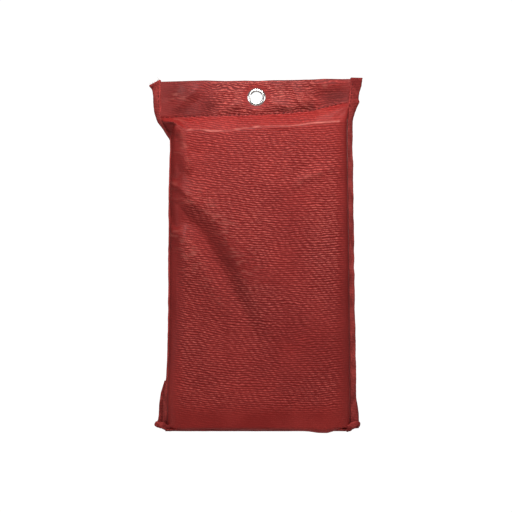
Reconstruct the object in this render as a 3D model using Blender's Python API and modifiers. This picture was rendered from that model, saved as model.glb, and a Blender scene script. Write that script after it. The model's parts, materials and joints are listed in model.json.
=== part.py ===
"""Fire blanket in a soft red wall pouch: the folded blanket, its two pull tapes, the sewn pouch
with a closing flap round its bottom mouth, and the header with the hanging eyelet.

Metres, +Z up, the front of the pouch faces -Y. The origin is at the middle of the base.
The pouch hangs by its eyelet; the flap and the blanket are shown closed and stowed."""

import math

import bmesh
import bpy
from mathutils import Matrix, Vector

# Driving dimensions
BLANKET_WIDTH = 0.1416
BLANKET_HEIGHT = 0.250
BLANKET_DEPTH = 0.020
BLANKET_ROUND = 0.006

CLOTH = 0.0008
SHOULDER_HEIGHT = 0.0066
CORNER_ROUND = 0.0075
HEADER_HEIGHT = 0.0262
HEADER_LEAN = math.radians(12)
BINDING_WIDTH = 0.0116
BINDING_THICKNESS = 0.0016
BINDING_TURNED_BACK = math.radians(85)
BINDING_FLARED = math.radians(18)
BINDING_TURN_LENGTH = 0.024
BINDING_FLARE_HEIGHT = 0.030
BINDING_END_LENGTH = 0.0012

EYELET_HOLE_RADIUS = 0.00485
EYELET_WALL = 0.00065
EYELET_FLANGE_RADIUS = 0.0074
EYELET_FLANGE_THICKNESS = 0.0009
EYELET_CURL = 0.0009
EYELET_BELOW_EDGE = 0.0148
WASHER_THICKNESS = 0.0006

SEAM_RADIUS = 0.0012
FOLD_RADIUS = 0.0008
FLAP_HEIGHT = 0.0385
HEM_HEIGHT = 0.006
HEM_THICKNESS = 0.0016

TAPE_WIDTH = 0.025
TAPE_THICKNESS = 0.0012
TAPE_SPACING = 0.074
TAPE_SEWN_LENGTH = 0.058
TAB_LENGTH = 0.050
TAB_THICKNESS = 0.0024
TAB_ABOVE_FLAP = 0.0135

PAD_WIDTH = 0.038
PAD_HEIGHT = 0.025
PAD_THICKNESS = 0.0012

# Clearances
TOUCH_GAP = 0.0003
LOOSE_GAP = 0.0004
STOWED_GAP = 0.0010

# The flap turns about its folds, so what stands next to a fold keeps clear of the thicker of the two
FOLD_REACH = max(FOLD_RADIUS, BINDING_THICKNESS / 2)

# Places across the depth, counted from the plane of the side seams
FRONT_FOLD = -(BLANKET_DEPTH / 2 + TOUCH_GAP + FOLD_RADIUS)
TAPE_INSIDE = BLANKET_DEPTH / 2 + TOUCH_GAP + TAPE_THICKNESS / 2
BACK_SHEET = TAPE_INSIDE + TAPE_THICKNESS / 2 + LOOSE_GAP + CLOTH / 2
TAPE_OUTSIDE = BACK_SHEET + CLOTH / 2 + TOUCH_GAP + TAPE_THICKNESS / 2
LOOP_PAD = BACK_SHEET + CLOTH / 2 + TOUCH_GAP + PAD_THICKNESS / 2
HOOK_PAD = LOOP_PAD + PAD_THICKNESS + TOUCH_GAP
BACK_FOLD = HOOK_PAD + PAD_THICKNESS / 2 + TOUCH_GAP + CLOTH / 2
TAB_CENTRE = BACK_SHEET + CLOTH / 2 + TOUCH_GAP + TAB_THICKNESS / 2
FRONT_REACH = FRONT_FOLD - max(FOLD_RADIUS, CLOTH / 2)
BACK_REACH = BACK_FOLD + max(FOLD_REACH, HEM_THICKNESS - CLOTH / 2)
SEAM_PLANE = -(FRONT_REACH + BACK_REACH) / 2

# Places up the height
FOLD_HEIGHT = FOLD_REACH
MOUTH = FOLD_HEIGHT + FOLD_REACH + TOUCH_GAP
TAPE_CROSSING = FOLD_HEIGHT + CLOTH / 2 + TOUCH_GAP + TAPE_THICKNESS / 2
BACK_HEM = TAPE_CROSSING + TAPE_THICKNESS / 2 + TOUCH_GAP
BLANKET_BOTTOM = BACK_HEM
BLANKET_TOP = BLANKET_BOTTOM + BLANKET_HEIGHT
SHOULDER_TOP = BLANKET_TOP + STOWED_GAP + 2 * CLOTH + TOUCH_GAP
HINGE_HEIGHT = SHOULDER_TOP + TOUCH_GAP + SEAM_RADIUS
HEADER_BOTTOM = SEAM_RADIUS + TOUCH_GAP
FLAP_TOP = FOLD_HEIGHT + FLAP_HEIGHT
TAB_HINGE_HEIGHT = FLAP_TOP + TAB_ABOVE_FLAP

# Places across the width
PANEL_HALF = BLANKET_WIDTH / 2 + LOOSE_GAP + CLOTH
BINDING_ROOT = PANEL_HALF + TOUCH_GAP + BINDING_THICKNESS / 2
HALF_WIDTH = BINDING_ROOT + BINDING_WIDTH

CORNER_STEPS = 4
SHOULDER_STEPS = 7

SIDES = {"left": -1, "right": 1}

for leftover in list(bpy.data.objects):
    bpy.data.objects.remove(leftover, do_unlink=True)

parts = bpy.data.collections.new("fire_blanket")
cutters = bpy.data.collections.new("fire_blanket_cutters")
bpy.context.scene.collection.children.link(parts)
bpy.context.scene.collection.children.link(cutters)


def material(name, colour, roughness, metallic=0.0):
    made = bpy.data.materials.new(name)
    made.use_nodes = True
    made.diffuse_color = (*colour, 1)
    shader = made.node_tree.nodes["Principled BSDF"]
    shader.inputs["Base Color"].default_value = (*colour, 1)
    shader.inputs["Roughness"].default_value = roughness
    shader.inputs["Metallic"].default_value = metallic
    return made


RED_CLOTH = material("red_coated_cloth", (0.27, 0.030, 0.026), 0.55)
RED_BINDING = material("red_binding_tape", (0.24, 0.022, 0.022), 0.7)
NICKEL = material("nickel", (0.80, 0.80, 0.80), 0.2, 1.0)
WOVEN_GLASS = material("woven_glass", (0.72, 0.70, 0.64), 0.65)
BLACK_WEBBING = material("black_webbing", (0.02, 0.02, 0.022), 0.8)
HOOK_AND_LOOP = material("red_hook_and_loop", (0.20, 0.018, 0.018), 0.95)


def pivot(name, x=0.0, y=0.0, z=0.0, parent=None):
    """An empty on a joint's axis, which its pieces and the next joint's empty hang on."""
    empty = bpy.data.objects.new(name, None)
    empty.empty_display_size = 0.01
    parts.objects.link(empty)
    empty.location = (x, y, z)
    if parent:
        empty.parent = parent
        empty.location = Vector((x, y, z)) - parent.matrix_world.translation
    bpy.context.view_layer.update()
    return empty


def finish(name, body, surface, on, collection=parts):
    """Makes an object of a bmesh whose points count from the empty that carries it."""
    bmesh.ops.recalc_face_normals(body, faces=body.faces)
    mesh = bpy.data.meshes.new(name)
    body.to_mesh(mesh)
    body.free()
    piece = bpy.data.objects.new(name, mesh)
    collection.objects.link(piece)
    piece.parent = on
    if surface:
        mesh.materials.append(surface)
    return piece


def from_seams(on, y=0.0, z=0.0):
    """A place given from the seam plane and the base, as it counts from an empty."""
    centre = on.matrix_world.translation
    return Vector((0, SEAM_PLANE + y - centre.y, z - centre.z))


def box(name, low, high, surface, on, round_by=0.0, steps=2):
    """A block between two corners, with its edges rounded."""
    body = bmesh.new()
    bmesh.ops.create_cube(body, size=1)
    low, high = Vector(low), Vector(high)
    bmesh.ops.scale(body, vec=high - low, verts=body.verts)
    bmesh.ops.translate(body, vec=(low + high) / 2, verts=body.verts)
    piece = finish(name, body, surface, on)
    if round_by:
        bevel = piece.modifiers.new("rounded", "BEVEL")
        bevel.width = round_by
        bevel.segments = steps
    return piece


def rod_along_x(name, half_length, radius, centre, on, surface=None, collection=cutters):
    body = bmesh.new()
    bmesh.ops.create_cone(
        body, cap_ends=True, segments=16, radius1=radius, radius2=radius, depth=2 * half_length
    )
    bmesh.ops.rotate(body, matrix=Matrix.Rotation(math.radians(90), 3, "Y"), verts=body.verts)
    bmesh.ops.translate(body, vec=centre, verts=body.verts)
    piece = finish(name, body, surface, on, collection)
    if collection == cutters:
        piece.hide_render = True
        piece.display_type = "WIRE"
    return piece


def boolean(piece, other, operation):
    step = piece.modifiers.new(other.name, "BOOLEAN")
    step.operation = operation
    step.object = other


def sheet(name, rows, thickness, surface, on, offset=0.0):
    """An open sheet through rows of points, thickened to a wall."""
    body = bmesh.new()
    grid = [[body.verts.new(point) for point in row] for row in rows]
    for upper, lower in zip(grid, grid[1:]):
        for n in range(len(upper) - 1):
            body.faces.new((upper[n], upper[n + 1], lower[n + 1], lower[n]))
    piece = finish(name, body, surface, on)
    wall = piece.modifiers.new("wall", "SOLIDIFY")
    wall.thickness = thickness
    wall.offset = offset
    wall.use_even_offset = True
    return piece


def ribbon(name, path, x_low, x_high, thickness, surface, on):
    """A flat strip whose side view is the path, points of (y, z) counted from the empty."""
    rows = [[(x, y, z) for y, z in path] for x in (x_low, x_high)]
    return sheet(name, rows, thickness, surface, on)


def half_outline(depth):
    """Half of the pouch's cross-section from seam to seam: side wall, round corner, face."""
    face = abs(depth)
    half = PANEL_HALF - CLOTH / 2
    start = TOUCH_GAP / 2
    corner = [
        (
            half - CORNER_ROUND * (1 - math.cos(turn)),
            face - CORNER_ROUND * (1 - math.sin(turn)),
        )
        for turn in (math.radians(90 * n / CORNER_STEPS) for n in range(CORNER_STEPS + 1))
    ]
    right = [(half, start), *corner, (half / 3, face)]
    left = [(-x, y) for x, y in reversed(right)]
    return [(x, math.copysign(y, depth)) for x, y in right + left]


def panel(name, depth, bottom, on):
    """One side of the pouch: sloping shoulder, broad face and half of each side wall."""
    outline = half_outline(depth)
    top = SHOULDER_TOP - CLOTH / 2
    levels = []
    for n in range(SHOULDER_STEPS + 1):
        turn = math.radians(90 * n / SHOULDER_STEPS)
        levels.append((top - SHOULDER_HEIGHT * (1 - math.cos(turn)), math.sin(turn)))
    levels += [(bottom + (top - SHOULDER_HEIGHT - bottom) * share, 1.0) for share in (2 / 3, 1 / 3, 0)]
    least = math.copysign(TOUCH_GAP / 2, depth)
    rows = []
    for z, share in levels:
        base = from_seams(on, 0, z)
        rows.append(
            [base + Vector((x, least + (y - least) * share, 0)) for x, y in outline]
        )
    return sheet(name, rows, CLOTH, RED_CLOTH, on)


def eased(share):
    share = min(max(share, 0), 1)
    return share * share * (3 - 2 * share)


def side_binding(name, side, on):
    """The bound side edge: flat beside the header, turned back along the body, flared at the base."""
    top = SHOULDER_TOP
    levels = [top - BINDING_TURN_LENGTH * n / 6 for n in range(7)]
    flare_top = MOUTH + BINDING_FLARE_HEIGHT
    levels += [flare_top + (levels[-1] - flare_top) * share for share in (2 / 3, 1 / 3)]
    levels += [flare_top - BINDING_FLARE_HEIGHT * n / 6 for n in range(7)]
    body = bmesh.new()
    rings = []
    for z in levels:
        turned = BINDING_TURNED_BACK * eased((top - z) / BINDING_TURN_LENGTH)
        flared = eased((flare_top - z) / BINDING_FLARE_HEIGHT)
        turned += (BINDING_FLARED - BINDING_TURNED_BACK) * flared
        along = Vector((math.cos(turned), math.sin(turned), 0))
        across = Vector((-math.sin(turned), math.cos(turned), 0)) * BINDING_THICKNESS / 2
        root = from_seams(on, 0, z) + Vector((BINDING_ROOT, 0, 0))
        edge = root + along * BINDING_WIDTH
        ring = [root + across, root - across, edge - across, edge + across]
        rings.append([body.verts.new((side * p.x, p.y, p.z)) for p in ring])
    for upper, lower in zip(rings, rings[1:]):
        for n in range(4):
            body.faces.new((upper[n], upper[n - 1], lower[n - 1], lower[n]))
    body.faces.new(rings[0])
    body.faces.new(rings[-1])
    return finish(name, body, RED_BINDING, on)


def turned_ring(name, profile, centre, surface, on, steps=32):
    """A ring about Y: the profile is (radius, y) points, and the Screw closes it round."""
    body = bmesh.new()
    points = [body.verts.new((radius, 0, y)) for radius, y in profile]
    for n in range(len(points)):
        body.edges.new((points[n - 1], points[n]))
    mesh = bpy.data.meshes.new(name)
    body.to_mesh(mesh)
    body.free()
    mesh.materials.append(surface)
    piece = bpy.data.objects.new(name, mesh)
    parts.objects.link(piece)
    piece.parent = on
    piece.location = centre
    piece.rotation_euler = (math.radians(90), 0, 0)
    screw = piece.modifiers.new("turned", "SCREW")
    screw.steps = steps
    screw.render_steps = steps
    screw.use_merge_vertices = True
    screw.merge_threshold = 0.00001
    return piece


def build_header(on):
    """Everything above the cross seam, drawn upright from the hinge; the empty leans it back."""
    half = PANEL_HALF
    top = HEADER_BOTTOM + HEADER_HEIGHT
    near, far = TOUCH_GAP / 2, TOUCH_GAP / 2 + CLOTH
    front = box("header_front_layer", (-half, -far, HEADER_BOTTOM), (half, -near, top), RED_CLOTH, on)
    back = box("header_back_layer", (-half, near, HEADER_BOTTOM), (half, far, top), RED_CLOTH, on)
    centre = Vector((0, 0, top - EYELET_BELOW_EDGE))
    barrel = EYELET_HOLE_RADIUS + EYELET_WALL
    punch = bmesh.new()
    bmesh.ops.create_cone(
        punch, cap_ends=True, segments=32, radius1=barrel + TOUCH_GAP, radius2=barrel + TOUCH_GAP, depth=0.01
    )
    bmesh.ops.rotate(punch, matrix=Matrix.Rotation(math.radians(90), 3, "X"), verts=punch.verts)
    bmesh.ops.translate(punch, vec=centre, verts=punch.verts)
    hole = finish("eyelet_hole", punch, None, on, cutters)
    hole.hide_render = True
    hole.display_type = "WIRE"
    boolean(front, hole, "DIFFERENCE")
    boolean(back, hole, "DIFFERENCE")
    for side_name, side in SIDES.items():
        edges = sorted((side * (half + TOUCH_GAP), side * HALF_WIDTH))
        box(
            f"{side_name}_header_binding",
            (edges[0], -BINDING_THICKNESS / 2, HEADER_BOTTOM),
            (edges[1], BINDING_THICKNESS / 2, top + BINDING_END_LENGTH),
            RED_BINDING,
            on,
        )
    face = far + TOUCH_GAP
    behind_washer = face + WASHER_THICKNESS + TOUCH_GAP
    curl = barrel + EYELET_CURL
    # After the quarter turn about X, a profile height of +h lies at -Y, in front of the cloth.
    turned_ring(
        "eyelet_barrel",
        [
            (barrel, face + EYELET_FLANGE_THICKNESS),
            ((barrel + EYELET_FLANGE_RADIUS) / 2, face + EYELET_FLANGE_THICKNESS),
            (EYELET_FLANGE_RADIUS, face + EYELET_FLANGE_THICKNESS * 0.4),
            (EYELET_FLANGE_RADIUS, face),
            (barrel, face),
            (barrel, -behind_washer),
            (curl, -behind_washer),
            (curl, -behind_washer - EYELET_CURL * 0.4),
            (barrel, -behind_washer - EYELET_CURL * 0.8),
            (EYELET_HOLE_RADIUS, -behind_washer - EYELET_CURL * 0.4),
            (EYELET_HOLE_RADIUS, face + EYELET_FLANGE_THICKNESS * 0.6),
        ],
        centre,
        NICKEL,
        on,
    )
    turned_ring(
        "eyelet_washer",
        [
            (EYELET_FLANGE_RADIUS, -face),
            (EYELET_FLANGE_RADIUS, -face - WASHER_THICKNESS),
            (barrel + TOUCH_GAP, -face - WASHER_THICKNESS),
            (barrel + TOUCH_GAP, -face),
        ],
        centre,
        NICKEL,
        on,
    )


def build_pouch(on):
    panel("front_panel", FRONT_FOLD, MOUTH, on)
    panel("back_panel", BACK_SHEET, BACK_HEM, on)
    seam = from_seams(on, 0, HINGE_HEIGHT)
    rod_along_x("cross_seam_roll", HALF_WIDTH, SEAM_RADIUS, seam, on, RED_CLOTH, parts)
    for side_name, side in SIDES.items():
        side_binding(f"{side_name}_side_binding", side, on)
    pad_base = from_seams(on, LOOP_PAD, pad_bottom())
    box(
        "loop_pad",
        pad_base + Vector((-PAD_WIDTH / 2, -PAD_THICKNESS / 2, 0)),
        pad_base + Vector((PAD_WIDTH / 2, PAD_THICKNESS / 2, PAD_HEIGHT)),
        HOOK_AND_LOOP,
        on,
    )


def pad_bottom():
    """The pads sit just under the flap's hem."""
    return FLAP_TOP - HEM_HEIGHT - PAD_HEIGHT


def fold_roll(piece, half_length, on):
    roll = rod_along_x(f"{piece.name}_roll", half_length, FOLD_RADIUS, (0, 0, 0), on)
    boolean(piece, roll, "UNION")


def build_flap_floor(on):
    """The part of the flap that lies across the mouth, hinged at the front panel's lower edge."""
    reach = BACK_FOLD - FRONT_FOLD - FOLD_REACH - TOUCH_GAP
    floor = box("flap_floor", (-PANEL_HALF, 0, -CLOTH / 2), (PANEL_HALF, reach, CLOTH / 2), RED_CLOTH, on)
    fold_roll(floor, PANEL_HALF, on)
    for side_name, side in SIDES.items():
        edges = sorted((side * (PANEL_HALF + TOUCH_GAP), side * HALF_WIDTH))
        box(
            f"{side_name}_floor_binding",
            (edges[0], 0, -BINDING_THICKNESS / 2),
            (edges[1], reach, BINDING_THICKNESS / 2),
            RED_BINDING,
            on,
        )


def build_flap_panel(on):
    """The part of the flap that stands behind the back panel, with its hem and its hook pad."""
    upright = box(
        "flap_panel", (-PANEL_HALF, -CLOTH / 2, 0), (PANEL_HALF, CLOTH / 2, FLAP_HEIGHT), RED_CLOTH, on
    )
    fold_roll(upright, PANEL_HALF, on)
    hem = box(
        "flap_hem",
        (-PANEL_HALF, 0, FLAP_HEIGHT - HEM_HEIGHT),
        (PANEL_HALF, HEM_THICKNESS - CLOTH / 2, FLAP_HEIGHT),
        None,
        on,
    )
    parts.objects.unlink(hem)
    cutters.objects.link(hem)
    hem.hide_render = True
    hem.display_type = "WIRE"
    boolean(upright, hem, "UNION")
    for side_name, side in SIDES.items():
        edges = sorted((side * (PANEL_HALF + TOUCH_GAP), side * HALF_WIDTH))
        box(
            f"{side_name}_flap_binding",
            (edges[0], -BINDING_THICKNESS / 2, 0),
            (edges[1], BINDING_THICKNESS / 2, FLAP_HEIGHT),
            RED_BINDING,
            on,
        )
    pad_base = from_seams(on, HOOK_PAD, pad_bottom())
    box(
        "hook_pad",
        pad_base + Vector((-PAD_WIDTH / 2, -PAD_THICKNESS / 2, 0)),
        pad_base + Vector((PAD_WIDTH / 2, PAD_THICKNESS / 2, PAD_HEIGHT)),
        HOOK_AND_LOOP,
        on,
    )


def build_blanket(on):
    base = from_seams(on, 0, BLANKET_BOTTOM)
    box(
        "folded_blanket",
        base + Vector((-BLANKET_WIDTH / 2, -BLANKET_DEPTH / 2, 0)),
        base + Vector((BLANKET_WIDTH / 2, BLANKET_DEPTH / 2, BLANKET_HEIGHT)),
        WOVEN_GLASS,
        on,
        BLANKET_ROUND,
        3,
    )
    corners = (
        (TAPE_INSIDE, BLANKET_BOTTOM + TAPE_SEWN_LENGTH),
        (TAPE_INSIDE, TAPE_CROSSING),
        (TAPE_OUTSIDE, TAPE_CROSSING),
        (TAPE_OUTSIDE, TAB_HINGE_HEIGHT - TAB_THICKNESS / 2 - TOUCH_GAP),
    )
    path = [from_seams(on, y, z).yz for y, z in corners]
    for side_name, side in SIDES.items():
        middle = side * TAPE_SPACING / 2
        ribbon(
            f"{side_name}_pull_tape",
            path,
            middle - TAPE_WIDTH / 2,
            middle + TAPE_WIDTH / 2,
            TAPE_THICKNESS,
            BLACK_WEBBING,
            on,
        )


def build_tab(side_name, on):
    """The doubled end of a tape, hinged where it leaves the flap."""
    box(
        f"{side_name}_pull_tab",
        (-TAPE_WIDTH / 2, -TAB_THICKNESS / 2, -TAB_THICKNESS / 2),
        (TAPE_WIDTH / 2, TAB_THICKNESS / 2, TAB_LENGTH),
        BLACK_WEBBING,
        on,
        TAB_THICKNESS * 0.45,
    )


header_pivot = pivot("header_pivot", 0, SEAM_PLANE, HINGE_HEIGHT)
build_header(header_pivot)
header_pivot.rotation_euler.x = -HEADER_LEAN

pouch_pivot = pivot("pouch_pivot", 0, SEAM_PLANE, HINGE_HEIGHT)
build_pouch(pouch_pivot)

flap_pivot = pivot("flap_pivot", 0, SEAM_PLANE + FRONT_FOLD, FOLD_HEIGHT, pouch_pivot)
build_flap_floor(flap_pivot)

flap_edge_pivot = pivot("flap_edge_pivot", 0, SEAM_PLANE + BACK_FOLD, FOLD_HEIGHT, flap_pivot)
build_flap_panel(flap_edge_pivot)

blanket_rest = pivot("blanket_rest", 0, SEAM_PLANE, BLANKET_BOTTOM, pouch_pivot)
build_blanket(blanket_rest)

for name_of_side, sign in SIDES.items():
    tab_pivot = pivot(
        f"{name_of_side}_tab_pivot",
        sign * TAPE_SPACING / 2,
        SEAM_PLANE + TAB_CENTRE,
        TAB_HINGE_HEIGHT,
        blanket_rest,
    )
    build_tab(name_of_side, tab_pivot)
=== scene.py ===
"""A soft red wall pouch with a folded fire blanket in it, dressed cloth by cloth round its frame.

Metres, +Z up, the front faces -Y. Each sub-assembly is a class that builds its own pieces."""

import json
import logging
import math
from dataclasses import dataclass, field
from enum import Enum
from typing import Callable, Sequence

import bpy
import numpy as np
from mathutils import Matrix, Vector


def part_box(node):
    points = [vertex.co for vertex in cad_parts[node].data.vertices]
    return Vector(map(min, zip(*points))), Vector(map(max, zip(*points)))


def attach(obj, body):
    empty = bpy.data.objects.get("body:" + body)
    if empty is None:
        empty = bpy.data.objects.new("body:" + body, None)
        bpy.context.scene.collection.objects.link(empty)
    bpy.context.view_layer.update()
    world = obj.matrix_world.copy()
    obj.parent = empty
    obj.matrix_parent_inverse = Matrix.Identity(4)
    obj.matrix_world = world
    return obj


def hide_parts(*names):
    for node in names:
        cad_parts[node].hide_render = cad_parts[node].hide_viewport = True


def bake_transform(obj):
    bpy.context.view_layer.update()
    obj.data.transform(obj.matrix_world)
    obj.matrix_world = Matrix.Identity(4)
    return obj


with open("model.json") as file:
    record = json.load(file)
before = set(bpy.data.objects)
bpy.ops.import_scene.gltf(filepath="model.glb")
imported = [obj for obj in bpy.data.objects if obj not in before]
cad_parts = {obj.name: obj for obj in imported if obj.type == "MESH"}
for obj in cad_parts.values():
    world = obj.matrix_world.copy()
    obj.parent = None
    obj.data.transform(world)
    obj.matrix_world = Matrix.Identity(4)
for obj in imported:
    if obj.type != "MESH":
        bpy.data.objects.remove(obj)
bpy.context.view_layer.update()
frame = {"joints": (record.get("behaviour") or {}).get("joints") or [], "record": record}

MM = 0.001
NOISE_CELLS = 256
Array = np.ndarray
Table = Sequence[tuple[float, float]]

logging.basicConfig(level=logging.INFO, format="%(message)s")
log = logging.getLogger("fire_blanket")


class Side(Enum):
    """The two sides of the pouch, as seen from the front."""

    LEFT = -1
    RIGHT = 1

    @property
    def word(self) -> str:
        """The side's name as the frame spells it."""
        return self.name.lower()


class Face(Enum):
    """The pouch's two cloth walls; the value is the direction that the wall looks along Y."""

    FRONT = -1
    BACK = 1


# ---------------------------------------------------------------- sizes from the frame


def joint_place(name: str) -> Vector:
    """Where a joint's axis passes.

    Args:
        name: the joint's name.

    Returns:
        The point in the row frame.
    """
    found = next(joint for joint in frame["joints"] if joint["name"] == name)
    return Vector(found["pos_m"])


@dataclass
class Places:
    """Places that several pieces share, all taken from the frame."""

    hinge: Vector = field(default_factory=lambda: joint_place("pouch_swing"))
    front_fold: Vector = field(default_factory=lambda: joint_place("flap_open"))
    back_fold: Vector = field(default_factory=lambda: joint_place("flap_unfold"))
    eyelet: Vector = field(default_factory=lambda: Vector(frame["record"]["mounts"][0]["pos_m"]))
    eyelet_axis: Vector = field(default_factory=lambda: Vector(frame["record"]["mounts"][0]["axis"]))

    def __post_init__(self) -> None:
        """Works out the seam plane, the wall depths and the header's lean."""
        self.seam = self.hinge.y
        self.lean = math.atan2(self.eyelet_axis.z, -self.eyelet_axis.y)
        self.front_depth = self.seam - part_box("front_panel")[0].y
        self.back_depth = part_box("back_panel")[1].y - self.seam
        self.header_height = (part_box("header_front_layer")[1].z - self.hinge.z) / math.cos(self.lean)
        self.flap_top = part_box("flap_panel")[1].z
        self.hem_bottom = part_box("back_panel")[0].z
        self.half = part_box("front_panel")[1].x

    def bend_at_seam(self, piece: bpy.types.Object) -> None:
        """Bakes the transform of a piece that spans the header and the pouch at the cross seam."""
        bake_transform(piece)

    def bend_at_front_fold(self, piece: bpy.types.Object) -> None:
        """Bakes the transform of a piece at the turn between the pouch and the flap's floor."""
        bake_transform(piece)

    def bend_at_back_fold(self, piece: bpy.types.Object) -> None:
        """Bakes the transform of a piece at the turn between the flap's floor and its end.

        Args:
            piece: the piece.
        """
        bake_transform(piece)


# ---------------------------------------------------------------- shaping helpers


def eased(low: float, high: float, value: Array) -> Array:
    """A smooth step from 0 at low to 1 at high."""
    share = np.clip((value - low) / (high - low), 0, 1)
    return share * share * (3 - 2 * share)


def along(table: Table, value: Array) -> Array:
    """Reads a table of (place, size) pairs in millimetres at places in metres.

    Args:
        table: pairs in rising order of place.
        value: the places, in metres.

    Returns:
        The sizes, in metres.
    """
    places, sizes = zip(*table)
    return np.interp(value, np.array(places) * MM, np.array(sizes) * MM)


def cloth_noise(u: Array, v: Array, seed: int) -> Array:
    """Smooth noise from -1 to 1 whose cells are one unit wide.

    Args:
        u: places along the first direction, in cells.
        v: places along the second direction, in cells.
        seed: picks the pattern.

    Returns:
        The noise at each place.
    """
    size = NOISE_CELLS
    values = np.random.default_rng(seed).uniform(-1, 1, (size, size))
    i, j = np.floor(u).astype(int), np.floor(v).astype(int)
    f, g = u - i, v - j
    f, g = f * f * (3 - 2 * f), g * g * (3 - 2 * g)
    i, j = i % size, j % size
    k, m = (i + 1) % size, (j + 1) % size
    near = values[i, j] * (1 - f) + values[k, j] * f
    far = values[i, m] * (1 - f) + values[k, m] * f
    return near * (1 - g) + far * g


@dataclass(frozen=True)
class Crease:
    """A ridge along a line on the cloth, or a valley where the lift is below zero.

    The path is (x, z) in millimetres. The two widths are those on its left and right hand."""

    path: Table
    lift: float
    widths: tuple[float, float]
    open_ends: bool = False

    def height(self, x: Array, z: Array) -> Array:
        """How far the cloth stands out at each place.

        Args:
            x: places across, in metres.
            z: places up, in metres.

        Returns:
            The lift, in metres.
        """
        points = np.array(self.path) * MM
        steps = np.linalg.norm(np.diff(points, axis=0), axis=1)
        starts = np.concatenate([[0], np.cumsum(steps)])
        nearest = np.full(x.shape, 1e9)
        side = np.zeros(x.shape)
        share = np.zeros(x.shape)
        for n, (a, b) in enumerate(zip(points, points[1:])):
            d = b - a
            t = np.clip(((x - a[0]) * d[0] + (z - a[1]) * d[1]) / (d @ d), 0, 1)
            away = np.hypot(x - a[0] - t * d[0], z - a[1] - t * d[1])
            cross = d[0] * (z - a[1]) - d[1] * (x - a[0])
            closer = away < nearest
            nearest = np.where(closer, away, nearest)
            side = np.where(closer, np.sign(cross), side)
            share = np.where(closer, (starts[n] + t * steps[n]) / starts[-1], share)
        width = np.where(side > 0, self.widths[0], self.widths[1]) * MM
        ends = 1.0 if self.open_ends else np.sin(np.pi * np.clip(share, 0.02, 0.98)) ** 0.6
        return self.lift * MM * np.exp(-((nearest / width) ** 1.35)) * ends


def lifted(creases: Sequence[Crease], x: Array, z: Array) -> Array:
    """The sum of the creases' heights.

    Args:
        creases: the creases.
        x: places across, in metres.
        z: places up, in metres.

    Returns:
        How far they lift the cloth at each place, in metres.
    """
    total = np.zeros(x.shape)
    for crease in creases:
        total = total + crease.height(x, z)
    return total


def grid_faces(rows: int, columns: int, closed: bool = False) -> Array:
    """The four-cornered faces between rows of points, one row after another.

    Args:
        rows: how many rows.
        columns: how many points in a row.
        closed: whether each row is a ring.

    Returns:
        The corners of each face.
    """
    across = columns if closed else columns - 1
    r, c = np.meshgrid(np.arange(rows - 1), np.arange(across), indexing="ij")
    n = (c + 1) % columns
    faces = np.stack([r * columns + c, (r + 1) * columns + c, (r + 1) * columns + n, r * columns + n], -1)
    return faces.reshape(-1, 4)


def deselect() -> None:
    """Leaves nothing selected and no active object."""
    bpy.ops.object.select_all(action="DESELECT")
    bpy.context.view_layer.objects.active = None


def make_piece(
    name: str,
    points: Array,
    faces: Sequence[Sequence[int]],
    material: bpy.types.Material,
    uv: Array | None = None,
    marks: dict[str, Array] | None = None,
) -> bpy.types.Object:
    """Makes a smooth mesh object in place.

    Args:
        name: the piece's name.
        points: the vertices, in metres.
        faces: the corners of each face.
        material: the finish.
        uv: a place on the cloth for each vertex, in metres.
        marks: named values for each vertex, which the finish reads.

    Returns:
        The new object.
    """
    mesh = bpy.data.meshes.new(name)
    mesh.from_pydata(points.tolist(), [], [list(map(int, face)) for face in faces])
    mesh.validate()
    mesh.materials.append(material)
    mesh.polygons.foreach_set("use_smooth", np.ones(len(mesh.polygons), bool))
    if uv is not None:
        corner = np.zeros(len(mesh.loops), np.int32)
        mesh.loops.foreach_get("vertex_index", corner)
        layer = mesh.uv_layers.new(name="cloth")
        layer.data.foreach_set("uv", uv[corner].astype(np.float32).ravel())
    for mark, values in (marks or {}).items():
        attribute = mesh.attributes.new(mark, "FLOAT", "POINT")
        attribute.data.foreach_set("value", values.astype(np.float32))
    mesh.update()
    piece = bpy.data.objects.new(name, mesh)
    bpy.context.scene.collection.objects.link(piece)
    return piece


def vertex_places(piece: bpy.types.Object) -> Array:
    """The places of a piece's vertices, in metres."""
    return np.array([vertex.co for vertex in piece.data.vertices])


def log_size(piece: bpy.types.Object) -> None:
    """Reports how many points a finished piece has."""
    log.info("%s: %d points", piece.name, len(piece.data.vertices))


def apply_modifiers(piece: bpy.types.Object) -> None:
    """Applies every modifier that the piece has.

    Args:
        piece: the piece.
    """
    deselect()
    piece.select_set(True)
    bpy.context.view_layer.objects.active = piece
    for modifier in list(piece.modifiers):
        bpy.ops.object.modifier_apply(modifier=modifier.name)
    deselect()


def thicken(piece: bpy.types.Object, thickness: float, offset: float = -1.0) -> None:
    """Gives an open cloth its thickness.

    Args:
        piece: the cloth.
        thickness: in metres.
        offset: -1 grows inwards from the surface, and 1 outwards.
    """
    wall = piece.modifiers.new("wall", "SOLIDIFY")
    wall.thickness = thickness
    wall.offset = offset
    apply_modifiers(piece)


def outwards(piece: bpy.types.Object) -> None:
    """Turns a closed mesh's faces outwards in edit mode.

    Args:
        piece: the piece.
    """
    deselect()
    piece.select_set(True)
    bpy.context.view_layer.objects.active = piece
    bpy.ops.object.mode_set(mode="EDIT")
    bpy.ops.mesh.select_all(action="SELECT")
    bpy.ops.mesh.normals_make_consistent(inside=False)
    bpy.ops.object.mode_set(mode="OBJECT")
    deselect()


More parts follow.
